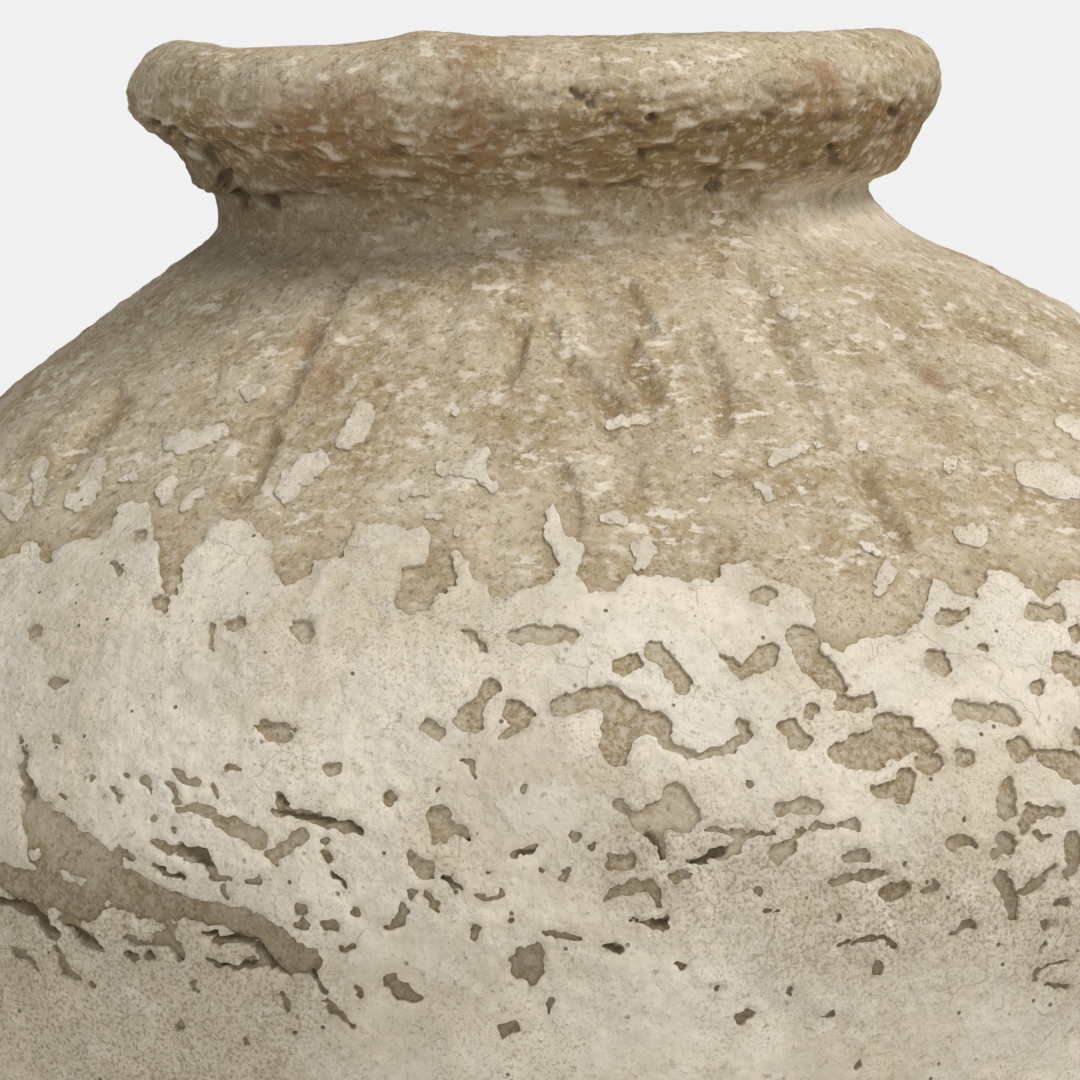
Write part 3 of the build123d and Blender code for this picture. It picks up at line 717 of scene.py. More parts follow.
def below_edge(pixels):
    """Distance of picture points below the ragged upper edge of the plaster, negative above it."""
    flat = pixels.reshape(-1, 2)
    edge = np.array(UPPER_EDGE, float)
    gap = np.full(len(flat), FAR)
    crossings = np.zeros(len(flat), int)
    for start, end in zip(edge[:-1], edge[1:]):
        way = end - start
        along = np.clip((flat - start) @ way / (way @ way), 0, 1)
        gap = np.minimum(gap, np.hypot(*(flat - start - along[:, None] * way).T))
        spans = (start[0] > flat[:, 0]) != (end[0] > flat[:, 0])
        level = start[1] + (flat[:, 0] - start[0]) * way[1] / (way[0] if way[0] else 1e-9)
        crossings += spans & (level < flat[:, 1])
    return np.where(crossings % 2 == 1, gap, -gap).reshape(pixels.shape[:-1])


def wall_points(surface, seam_row):
    """Millimetres round the wall, and up along it from the row of the belly seam."""
    around = np.broadcast_to(surface.azimuth * WALL_GAUGE, surface.base.shape[:2])
    steps = np.linalg.norm(np.diff(surface.base, axis=0, prepend=surface.base[:1]), axis=2)
    upward = np.cumsum(steps, axis=0)
    return ragged(np.stack([around, upward - upward[seam_row]], axis=-1), *WALL_RAGGED)


def seeded_strokes(seed, count, heights, widths):
    """Chance strokes of one to four marks: distance round the wall, height along it and half width."""
    chance = np.random.default_rng(seed)
    strokes = []
    for _ in range(count):
        x = chance.uniform(0, WALL_ROUND)
        y = heights[0] + (heights[1] - heights[0]) * chance.uniform() ** 0.8
        wide = chance.uniform(*widths) ** 1.5 / widths[1] ** 0.5
        way = chance.uniform(0, 2 * math.pi)
        stroke = []
        for _ in range(chance.integers(1, 5)):
            stroke.append((x, y, wide * chance.uniform(0.5, 1.0)))
            way += chance.uniform(-0.8, 0.8)
            x += 2.2 * wide * math.cos(way)
            y += 1.4 * wide * math.sin(way)
        strokes.append(stroke)
    return strokes


def ragged(points, amount, spacing, seed):
    """Flat points moved about by noise, so that outlines drawn on them turn ragged."""
    spots = np.concatenate([points, np.zeros_like(points[..., :1])], axis=-1)
    shift = [noise(spots, spacing, seed + way) + 0.7 * noise(spots, spacing / 2.4, seed + way + 1)
             for way in (0, 10)]
    return points + amount * np.stack(shift, axis=-1)


def chance_chips(wall):
    """Depth inside the chips away from the front: some wide, many small, most of them round the bend."""
    strokes = [stroke for chips in (WIDE_CHIPS, SMALL_CHIPS, BEND_CHIPS) for stroke in seeded_strokes(*chips)]
    return stroke_depth(wall, strokes, FAR / PIXELS_PER_MM)


@functools.cache
def shoulder_cover():
    """Depth in millimetres inside the plaster of the shoulder, inside its loose flakes and below its edge."""
    surface = shoulder_surface()
    seen = in_picture(surface)
    pixels = ragged(picture_points(surface.base), *EDGE_RAGGED)
    edge = below_edge(pixels)
    chips = stroke_depth(pixels, CHIPS, FAR)
    islands = stroke_depth(pixels, ISLANDS, FAR)
    wall = wall_points(surface, 0)
    back_edge = PLASTER_LINE - wall[..., 1] + uneven(surface.base, BACK_EDGE)
    back_bare = chance_chips(wall)
    back_left = stroke_depth(wall, seeded_strokes(*BACK_FLAKES), FAR / PIXELS_PER_MM)
    edge = seen * edge / PIXELS_PER_MM + (1 - seen) * np.clip(back_edge, -EDGE_REACH, EDGE_REACH)
    bare = seen * chips / PIXELS_PER_MM + (1 - seen) * back_bare
    left = seen * islands / PIXELS_PER_MM + (1 - seen) * back_left
    coat = np.minimum(edge, -bare)
    flakes = np.minimum(left, -coat - FLAKE_GAP)
    return Cover(coat, flakes, edge)


@functools.cache
def belly_cover():
    """Depth inside the plaster of the lower wall, in millimetres."""
    surface = belly_surface()
    seen = in_picture(surface)
    pixels = ragged(picture_points(surface.base), *EDGE_RAGGED)
    chips = stroke_depth(pixels, CHIPS, FAR)
    bare = seen * chips / PIXELS_PER_MM + (1 - seen) * chance_chips(wall_points(surface, -1))
    foot = surface.base[..., 2] - size("plaster_stop") - uneven(surface.base, FOOT_EDGE)
    return np.minimum(foot, -bare)


def broad_waves(points):
    """Slow unevenness of the hand-built wall, which mud and plaster share."""
    return uneven(points, WALL_WAVES)


def over_clay(rise):
    """Rise of the mud, eased so that its hollows never reach the clay."""
    return np.where(rise < 0, -MUD_COVER * np.tanh(-rise / MUD_COVER), rise)


def mud_relief(points, bare):
    """Lumps and grit of the hand-laid mud, where no plaster evens them out, and its holes."""
    holes = dimples(points, *HOLE_SPOTS) * smooth_step(noise(points, *HOLE_CLOUDS), 0.0, 0.5)
    return (0.25 + 0.75 * bare) * uneven(points, MUD_LUMPS) - HOLE_DEPTH * bare * holes, holes


def bump_at(distance, middle, spread):
    """Share that is 1 at a distance and fades to both sides."""
    return np.exp(-((distance - middle) / spread) ** 2)


def shoulder_sway(surface):
    """Slow waves of the shoulder and its slopes, sunk at the right of the neck and at the far left."""
    from_throat = (surface.arc[-1] - surface.arc)[:, None]
    side = np.sin(surface.azimuth)
    left = smooth_step(-side, *LEFT_SIDE)
    right = smooth_step(side, *RIGHT_SIDE)
    slopes = right * (1.6 * smooth_step(from_throat, 40, 68) - right_dip(from_throat))
    slopes = slopes - left * (2.2 * bump_at(-from_throat, 1, 4) + 1.5 * smooth_step(from_throat, 50, 80))
    return broad_waves(surface.base) + slopes * smooth_step(surface.arc, 4, 30)[:, None]


def right_dip(distance):
    """Hollow in the slope at the right of the neck, by the distance below the throat."""
    return 3.4 * bump_at(distance, 18, 12)


def neck_shade(distance, side):
    """Painted shade, with some dirt, in the throat under the lip, least on the lit right-hand side, at a
    distance along the wall.
    """
    return (1 - smooth_step(distance, 7, 20)) * (0.9 - 0.9 * smooth_step(side, -0.85, 0.2))


def chip_darkening(distance):
    """Darkening of the mud in the chips, full at the belly and less further up the wall, by the distance up
    the wall from the belly.
    """
    return 1 - 0.65 * smooth_step(distance, 0, 30)


def edge_dirt_and_shadow(cover):
    """Dirt and painted shadow in the mud along the plaster's edges, by the depth inside the plaster."""
    return np.exp(-np.clip(-cover, 0, None) / EDGE_DIRT_AND_SHADOW_REACH)


def neck_brown_and_shade(side):
    """Warm brown mud and painted shade in the throat under the lip, least on the lit right-hand side."""
    return 0.36 - 0.36 * smooth_step(side, 0.2, 0.8)


def neck_wrinkles(points):
    """Level wrinkles that a wet hand left in the mud of the neck."""
    level = np.concatenate([0.3 * points[..., :2], points[..., 2:]], axis=2)
    level[..., 2] += uneven(points, WRINKLE_DRIFT)
    return uneven(level, WRINKLES)


@functools.cache
def shoulder_mud():
    """Mud of the shoulder, with runs and furrows that follow the slope."""
    surface = shoulder_surface()
    coat, flakes, edge = shoulder_cover()
    bare = smooth_step(-edge, -3, 6)
    rise, holes = mud_relief(surface.base, bare)
    gauge = RUN_GAUGE * heading(shoulder_columns())
    runs = np.concatenate([
        np.broadcast_to(gauge, (*surface.base.shape[:2], 2)),
        np.broadcast_to(RUN_STRETCH * surface.arc[:, None, None], (*surface.base.shape[:2], 1)),
    ], axis=2)
    seen = in_picture(surface)
    pixels = ragged(picture_points(surface.base), *FURROW_RAGGED)
    furrow = stroke_share(pixels, FURROWS, *FURROW_SOFT) * seen
    streaks = uneven(runs, MUD_RUNS)
    from_throat = (surface.arc[-1] - surface.arc)[:, None]
    side = np.sin(surface.azimuth)
    deep = stroke_share(pixels, DEEP, *TEAR_SOFT) * seen
    rise = rise + smooth_step(from_throat, 2, 16) * bare * streaks
    rise = over_clay(rise - FURROW_DEPTH * bare * furrow - TEAR_DEPTH * deep + shoulder_sway(surface))
    cover = np.maximum(coat, flakes)
    neck = 1 - smooth_step(from_throat + uneven(surface.base, NECK_EDGE), 3, 17)
    # Painted light on the lit right-hand side of the throat, in the pale lime colour
    painted_light_right = 0.7 * smooth_step(side, *RIGHT_SIDE) * (1 - smooth_step(from_throat, 8, 24))
    # Lime on the ridges of the wrinkles near the throat, with painted highlight on them
    lime_and_lit_ridges = (1 - smooth_step(from_throat, 2, 14)) * smooth_step(neck_wrinkles(surface.base), 0.1, 0.5)
    # Painted shade in the holes, the furrows and the troughs of the runs
    shaded_hollows = 0.7 * holes + 0.1 * furrow + 0.1 * smooth_step(-streaks, 0.2, 1.0)
    # Darker brown in the furrows and the troughs of the runs: the mud's colour, with painted shade in the
    # grooves
    furrow_brown_and_shade = 0.45 * furrow + 0.25 * smooth_step(-streaks, 0.1, 0.9)
    marks = {
        # Hollows darkened with painted shade; the tears get painted shadow
        "hollow": np.clip(bare * shaded_hollows + deep, 0, 1),
        "stain": stroke_share(pixels, STAINS, *SHOULDER_STAIN_SOFT) * seen,
        "lime": bare,
        # Dirt and painted shadow along the plaster's edges
        "dirt": edge_dirt_and_shadow(cover),
        # Painted shade and dirt in the throat, and darker mud in the chips
        "shade": np.maximum(neck_shade(from_throat, side), chip_darkening(surface.arc[:, None]) * (1 - bare)),
        # Lime on the wrinkle ridges with painted highlight, and painted light on the throat's right-hand side
        "pale_streak_and_light": np.maximum(lime_and_lit_ridges, painted_light_right),
        # Browner mud: painted shade in the throat, and darker brown with painted shade in the furrows
        "brown_and_shade": bare * np.maximum(neck * neck_brown_and_shade(side), furrow_brown_and_shade),
    }
    return Coat(surface.base + rise[..., None] * surface.normal, surface.normal, marks)


@functools.cache
def belly_mud():
    """Mud of the lower wall, which shows only in chips and over the foot."""
    surface = belly_surface()
    blank = np.zeros(surface.base.shape[:2])
    rise = mud_relief(surface.base, blank)[0] + broad_waves(surface.base)
    marks = dict.fromkeys(("hollow", "stain", "lime", "pale_streak_and_light", "brown_and_shade"), blank)
    # Dirt and painted shadow along the plaster's edges; darker mud in the chips
    marks["dirt"] = edge_dirt_and_shadow(belly_cover())
    marks["shade"] = blank + chip_darkening(0)
    return Coat(surface.base + rise[..., None] * surface.normal, surface.normal, marks)


@functools.cache
def collar_mud():
    """Mud of the collar and lip, thumbed by hand, with wrinkles under the lip and a wavy rim."""
    surface = collar_surface()
    points = surface.base
    rise, holes = mud_relief(points, np.ones(points.shape[:2]))
    arc = surface.arc[:, None]
    side = np.sin(surface.azimuth)
    grown = smooth_step(arc, 5, 26)
    under = smooth_step(-surface.normal[..., 2], 0.0, 0.6)
    face = smooth_step(-surface.normal[..., 2], -0.45, 0.3)
    wrinkles = neck_wrinkles(points)
    lumps = uneven(points, LIP_LUMPS)
    pixels = picture_points(points)
    seen = in_picture(surface)
    pits = stroke_share(ragged(pixels, *PIT_RAGGED), PITS, *PIT_SOFT) * seen
    line = np.array(RIM_LINE, float)
    lift = np.interp(pixels[..., 0], line[:, 0], line[:, 1]) / RIM_PIXELS_PER_MM
    top = smooth_step(surface.normal[..., 2], -0.3, 0.9)
    left = smooth_step(-side, *LEFT_SIDE)
    right = smooth_step(side, *RIGHT_SIDE)
    form = right * (3.6 * bump_at(arc, 12, 8) - 0.8 * grown - right_dip(-arc)) + 0.3 * left * grown
    form = form + left * (2.0 * bump_at(arc, 8, 3.5) - 2.4 * bump_at(arc, 19, 7) - 2.2 * bump_at(arc, 1, 4))
    wiped = smooth_step(arc, 1, 9) * (0.2 + 0.8 * face) * (1 - 0.7 * smooth_step(side, 0.6, 0.95))
    rise = rise + grown * lumps + WRINKLE_DEPTH * wiped * wrinkles - PIT_DEPTH * pits
    rise = over_clay(rise + broad_waves(points) + form + top * (lift - 0.8) * surface.normal[..., 2])
    # Lime on the wrinkle ridges of the lip's face and the neck, with painted highlight on them
    lime_and_lit_ridges = np.maximum(face, 1 - smooth_step(arc, 8, 20)) * smooth_step(wrinkles, 0.1, 0.5)
    # Warmer tone over the collar, with painted shade on the lip's face and underside
    warm = 0.15 + 0.25 * face + 0.42 * under
    marks = {
        # Painted shade in the holes, pits and wrinkle troughs
        "hollow": np.clip(0.6 * holes + pits + 0.85 * face * smooth_step(-wrinkles, 0.15, 0.5), 0, 1),
        "stain": stroke_share(ragged(pixels, *STAIN_RAGGED), STAINS, *LIP_STAIN_SOFT) * seen,
        # Lime, most on upward faces; the right-hand side of the throat gets painted light
        "lime": 0.15 + 0.85 * bump_at(surface.normal[..., 2], 0.6, 0.45) + 0.4 * right * (1 - grown),
        "dirt": np.zeros(points.shape[:2]),
        # Painted shade and dirt in the throat
        "shade": neck_shade(arc, side),
        # Browner mud: painted shade in the throat, then the collar's warmer tone with painted shade under the
        # lip
        "brown_and_shade": neck_brown_and_shade(side) + smooth_step(arc, 2, 14) * (warm - neck_brown_and_shade(side)),
        # Lime on the ridges with painted highlight, and painted light on the throat's right-hand side
        "pale_streak_and_light": np.maximum(lime_and_lit_ridges, 0.7 * right * (1 - smooth_step(arc, 6, 16))),
    }
    return Coat(points + rise[..., None] * surface.normal, surface.normal, marks)


def plaster_top(surface, sway, mud, cover, share):
    """Upper face of the plaster with its marks: it evens out the mud, and thins towards a broken edge."""
    points = surface.base
    trowelled = uneven(points, TROWEL_MARKS)
    pixels = picture_points(points)
    seen = in_picture(surface)
    rings = np.zeros(points.shape[:2])
    for x, y, radius in BLISTERS:
        gap = np.hypot(pixels[..., 0] - x, pixels[..., 1] - y) - radius
        rings = np.maximum(rings, bump_at(gap, 0, BLISTER_WIDTH) * seen)
    full = smooth_step(cover, -0.2, EDGE_ROUND)
    thick = share * size("plaster_thickness") * (EDGE_SHARE + (1 - EDGE_SHARE) * full)
    evened = points + sway[..., None] * surface.normal
    base = evened + mud.marks["lime"][..., None] * (mud.place - evened)
    rise = (share * trowelled + BLISTER_RISE * rings) * full + thick
    under = mud.place - PLASTER_SINK * surface.normal
    soil = stroke_share(ragged(pixels, *SOIL_RAGGED), SOIL, *SOIL_SOFT)
    marks = {"inside": np.clip(cover, 0, EDGE_REACH), "soil": soil * on_front(surface)}
    return base + rise[..., None] * surface.normal, under, marks


# Meshes

def covered_cells(cover):
    """Faces of a wrapped grid where the cover is positive, cut along its zero line.

    Returns the faces, grouped by their count of corners, and how each vertex lies between two grid points.
    """
    rows, cols = cover.shape
    inside = cover > 0
    right = np.roll(inside, -1, axis=1)
    grid = np.arange(rows * cols).reshape(rows, cols)
    beside = np.roll(grid, -1, axis=1)
    cut_across = inside != right
    cut_up = inside[:-1] != inside[1:]
    across = np.full((rows, cols), -1)
    across[cut_across] = rows * cols + np.arange(cut_across.sum())
    upward = np.full((rows - 1, cols), -1)
    upward[cut_up] = rows * cols + cut_across.sum() + np.arange(cut_up.sum())
    first = np.concatenate([grid.ravel(), grid[cut_across], grid[:-1][cut_up]])
    second = np.concatenate([grid.ravel(), beside[cut_across], grid[1:][cut_up]])
    levels = cover.ravel()
    share = levels[first] / np.where(first == second, 1, levels[first] - levels[second])
    share[:rows * cols] = 0
    spots = np.stack([
        grid[:-1], beside[:-1], beside[1:], grid[1:],
        across[:-1], np.roll(upward, -1, axis=1), across[1:], upward,
    ], axis=-1).reshape(-1, 8)
    flags = np.stack([inside[:-1], right[:-1], right[1:], inside[1:]], axis=-1)
    codes = flags.reshape(-1, 4) @ np.array([1, 2, 4, 8])
    faces = []
    for code in range(1, 16):
        held = [bool(code >> corner & 1) for corner in range(4)]
        order = []
        for corner in range(4):
            if held[corner]:
                order.append(corner)
            if held[corner] != held[(corner + 1) % 4]:
                order.append(corner + 4)
        faces.append(spots[codes == code][:, order])
    return faces, first, second, share


def border_edges(faces, count):
    """Directed edges that belong to one face only."""
    starts = np.concatenate([face.ravel() for face in faces])
    ends = np.concatenate([np.roll(face, -1, axis=1).ravel() for face in faces])
    keys = np.minimum(starts, ends) * count + np.maximum(starts, ends)
    _, back, uses = np.unique(keys, return_inverse=True, return_counts=True)
    alone = uses[back] == 1
    return starts[alone], ends[alone]


def bake_places(azimuth, share, faces, strips):
    """Flat coordinates for baking: a band for each third of the way round, and a strip for hidden faces."""
    turns = np.degrees(azimuth)
    places = []
    for face, hidden in zip(faces, strips):
        corner = turns[face]
        start = corner[:, :1]
        unwrapped = start + (corner - start + 180) % 360 - 180
        middle = unwrapped.mean(axis=1) % 360
        third = np.floor(middle / BAKE_TURN)
        offset = (unwrapped - (BAKE_TURN * (third + 0.5))[:, None] + 180) % 360 - 180
        if hidden:
            spot = np.stack([(unwrapped % 360) / 360, HIDDEN_START + HIDDEN_HEIGHT * share[face]], axis=-1)
        else:
            spot = np.stack([
                0.5 + BAKE_ACROSS * offset / BAKE_TURN,
                BAKE_START + (third[:, None] + BAKE_MARGIN + BAKE_RISE * share[face]) * BAKE_BAND,
            ], axis=-1)
        places.append(spot.reshape(-1, 2))
    return np.clip(np.concatenate(places), 0, 1)


def make_piece(name, place, faces, strips, azimuth, share, marks, finish):
    """Mesh piece of the pot from numbered faces, with its marks, bake coordinates and finish."""
    used = np.unique(np.concatenate([face.ravel() for face in faces]))
    number = np.full(len(place), -1)
    number[used] = np.arange(len(used))
    spots = bake_places(azimuth, share, faces, strips)
    corners = np.concatenate([number[face].ravel() for face in faces])
    counts = np.concatenate([np.full(len(face), face.shape[1]) for face in faces])
    mesh = bpy.data.meshes.new(f"{name}_relief")
    mesh.vertices.add(len(used))
    mesh.vertices.foreach_set("co", (place[used] * MM).astype(np.float32).ravel())
    mesh.loops.add(len(corners))
    mesh.loops.foreach_set("vertex_index", corners.astype(np.int32))
    mesh.polygons.add(len(counts))
    mesh.polygons.foreach_set("loop_start", (np.cumsum(counts) - counts).astype(np.int32))
    mesh.update(calc_edges=True)
    bake = mesh.uv_layers.new(name="OFBake")
    bake.data.foreach_set("uv", spots.astype(np.float32).ravel())
    for mark, values in marks.items():
        layer = mesh.attributes.new(mark, "FLOAT", "POINT")
        layer.data.foreach_set("value", values[used].astype(np.float32))
    mesh.shade_smooth()
    mesh.set_sharp_from_angle(angle=SHARP_EDGE)
    mesh.materials.append(finish)
    piece = bpy.data.objects.new(f"{name}_relief", mesh)
    bpy.context.scene.collection.objects.link(piece)
    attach(piece, BODY)
    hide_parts(name)
    return piece


def make_coat(name, coat, azimuth, finish):
    """Closed coat: its outer face, and an even inner face that lies against the clay."""
    rows, cols = coat.place.shape[:2]
    kept = np.unique(np.append(np.arange(0, rows, INNER_STEP), rows - 1))[::-1]
    inner = coat.place[kept] - COAT_INSET * coat.normal[kept]
    place = np.concatenate([coat.place, inner])
    loop = np.arange(len(place) * cols).reshape(len(place), cols)
    low = loop
    high = np.roll(loop, -1, axis=0)
    quads = np.stack([low, np.roll(low, -1, 1), np.roll(high, -1, 1), high], axis=-1)
    faces = [quads[:rows - 1].reshape(-1, 4), quads[rows - 1:].reshape(-1, 4)]
    share = np.concatenate([np.linspace(0, 1, rows), np.linspace(1, 0, len(kept))])
    share = np.repeat(share, cols)
    marks = {}
    for mark, values in coat.marks.items():
        marks[mark] = np.concatenate([values, values[kept]]).ravel()
    around = np.tile(azimuth, len(place))
    return make_piece(name, place.reshape(-1, 3), faces, (False, True), around, share, marks, finish)


def make_plaster(name, surface, sway, mud, cover, thickness_share, finish):
    """Closed plaster skin: its upper face, its underside in the mud and the broken edges between them."""
    place, under, top_marks = plaster_top(surface, sway, mud, cover, thickness_share)
    faces, first, second, share = covered_cells(cover)
    count = len(first)

    def between(values):
        """Values at the vertices, from values at the grid's points."""
        flat = values.reshape(-1, *values.shape[2:])
        part = share.reshape(-1, *[1] * (flat.ndim - 1))
        return flat[first] * (1 - part) + flat[second] * part

    starts, ends = border_edges(faces, count)
    walls = np.stack([ends, starts, starts + count, ends + count], axis=1)
    undersides = [face[:, ::-1] + count for face in faces]
    every_face = [*faces, walls, *undersides]
    strips = [False] * (len(faces) + 1) + [True] * len(undersides)
    turn = np.broadcast_to(surface.azimuth, cover.shape)
    turn_first = turn.ravel()[first]
    step = (turn.ravel()[second] - turn_first + math.pi) % (2 * math.pi) - math.pi
    around = turn_first + share * step
    level = between(np.broadcast_to(np.linspace(0, 1, len(cover))[:, None], cover.shape))
    marks = {mark: np.concatenate([between(values), np.zeros(count)]) for mark, values in top_marks.items()}
    return make_piece(name, np.concatenate([between(place), between(under)]), every_face, strips,
                      np.tile(around, 2), np.tile(level, 2), marks, finish)


# Finishes

def add_node(tree, kind, values=None, **settings):
    """Node with settings, and with values or links for its inputs by identifier, name or number."""
    node = tree.nodes.new(kind)
    for setting, value in settings.items():
        setattr(node, setting, value)
    sockets = {socket.identifier: socket for socket in node.inputs}
    for key, value in (values or {}).items():
        socket = sockets[key] if key in sockets else node.inputs[key]
        if isinstance(value, bpy.types.NodeSocket):
            tree.links.new(value, socket)
        else:
            socket.default_value = value
    return node


def new_finish(name, roughness):
    """Material with a matt shader, its node tree and coordinates in metres."""
    material = bpy.data.materials.new(name)
    material.use_nodes = True
    tree = material.node_tree
    shader = tree.nodes["Principled BSDF"]
    shader.inputs["Roughness"].default_value = roughness
    shader.inputs["IOR"].default_value = MINERAL_IOR
    shader.inputs["Specular IOR Level"].default_value = MATT_SPECULAR
    place = add_node(tree, "ShaderNodeTexCoord").outputs["Object"]
    return Finish(material, tree, shader, place)


def grain(tree, place, millimetres, detail, low, high):
    """Noise of a real size, spread so that the low and high shares become 0 and 1."""
    pattern = add_node(tree, "ShaderNodeTexNoise", {
        "Vector": place, "Scale": 1 / (millimetres * MM), "Detail": detail, "Roughness": 0.65,
    })
    return add_node(tree, "ShaderNodeMapRange", {
        "Value": pattern.outputs["Fac"], "From Min": low, "From Max": high,
    }, interpolation_type="SMOOTHSTEP").outputs["Result"]


def laid(tree, ground, layers):
    """Colour of a ground with layers over it, each of a colour, a strength and the shares that thin it."""
    body = tint(ground)
    for name, strength, *shares in layers:
        amount = strength
        for share in shares:
            amount = add_node(tree, "ShaderNodeMath", {0: share, 1: amount}, operation="MULTIPLY").outputs[0]
        values = {"Factor_Float": amount, "A_Color": body, "B_Color": tint(name)}
        body = add_node(tree, "ShaderNodeMix", values, data_type="RGBA").outputs[MIXED_COLOUR]
    return body


def set_surface(finish, body, height, strength, millimetres):
    """Join a colour and a fine relief, of a depth in millimetres, to the shader of a finish."""
    bump = add_node(finish.tree, "ShaderNodeBump", {
        "Height": height, "Strength": strength, "Distance": millimetres * MM,
    })
    finish.tree.links.new(body, finish.shader.inputs["Base Color"])
    finish.tree.links.new(bump.outputs["Normal"], finish.shader.inputs["Normal"])


@functools.cache
def dried_mud():
    """Finish of the mud coats."""
    # Dried mud, smeared on by hand: matt and grainy grey-brown, with lime wiped over it and clay stains;
    # painted shade darkens its hollows, the throat and the lip's underside, dirt and painted shadow line the
    # plaster's edges, and painted light brightens the throat's right-hand side and the wrinkle ridges
    finish = new_finish("dried_mud", 0.95)
    tree = finish.tree
    pattern = functools.partial(grain, tree, finish.place)
    mark = {
        name: add_node(tree, "ShaderNodeAttribute", attribute_name=name).outputs["Fac"]
        for name in ("lime", "brown_and_shade", "pale_streak_and_light", "stain", "shade", "hollow", "dirt")
    }
    level = add_node(tree, "ShaderNodeMapping", {"Vector": finish.place, "Scale": LEVEL_STRETCH})
    chipped = add_node(tree, "ShaderNodeMapRange", {
        "Value": mark["lime"], "From Min": 0.0, "From Max": 0.12, **FALLING,
    }).outputs["Result"]
    # Dirt and painted shadow along the plaster's edges, laid in with the hollows
    soiled = add_node(tree, "ShaderNodeMath", {0: mark["dirt"], 1: 0.4}, operation="MULTIPLY").outputs[0]
    hollow = add_node(tree, "ShaderNodeMath", {0: mark["hollow"], 1: soiled}, operation="MAXIMUM").outputs[0]
    smears = grain(tree, level.outputs["Vector"], 2.5, 7, 0.53, 0.6)
    body = laid(tree, "mud_ground", (
        ("mud_warm", 1.0, pattern(16, 4, 0.4, 0.6)),
        ("mud_lime_and_light", 0.6, pattern(8, 5, 0.46, 0.68), mark["lime"]),
        ("mud_dark", 0.6, pattern(1.6, 7, 0.52, 0.66)),
        # Browner mud, with painted shade under the lip, in the throat and in the furrows
        ("mud_brown_and_shade", 0.8, mark["brown_and_shade"]),
        ("mud_dark", 0.6, pattern(0.6, 3, 0.5, 0.66), pattern(9, 5, 0.36, 0.6)),
        ("mud_lime_and_light", 0.5, pattern(2.2, 7, 0.52, 0.62)),
        ("plaster_pale", 0.85, smears, pattern(14, 4, 0.4, 0.6), mark["lime"]),
        ("mud_lime_and_light", 0.55, chipped, pattern(0.9, 4, 0.46, 0.58)),
        # Lime on the wrinkle ridges with painted highlight, and painted light on the throat's right-hand side
        ("mud_lime_and_light", 0.9, mark["pale_streak_and_light"], pattern(5, 6, 0.36, 0.56)),
        ("mud_stain", 0.4, mark["stain"], pattern(7, 5, 0.35, 0.6)),
        # Painted shade and dirt in the throat, and darker mud in the chips, most at the belly
        ("mud_shade", 0.6, mark["shade"]),
        # Painted shade in the holes, pits, tears and wrinkle troughs, with dirt and painted shadow along the
        # plaster's edges
        ("mud_hollow_shade", 0.7, hollow),
    ))
    grit = add_node(tree, "ShaderNodeTexNoise", {
        "Vector": finish.place, "Scale": 1 / (1.1 * MM), "Detail": 5.0,
    })
    set_surface(finish, body, grit.outputs["Fac"], 0.6, 0.5)
    return finish.material


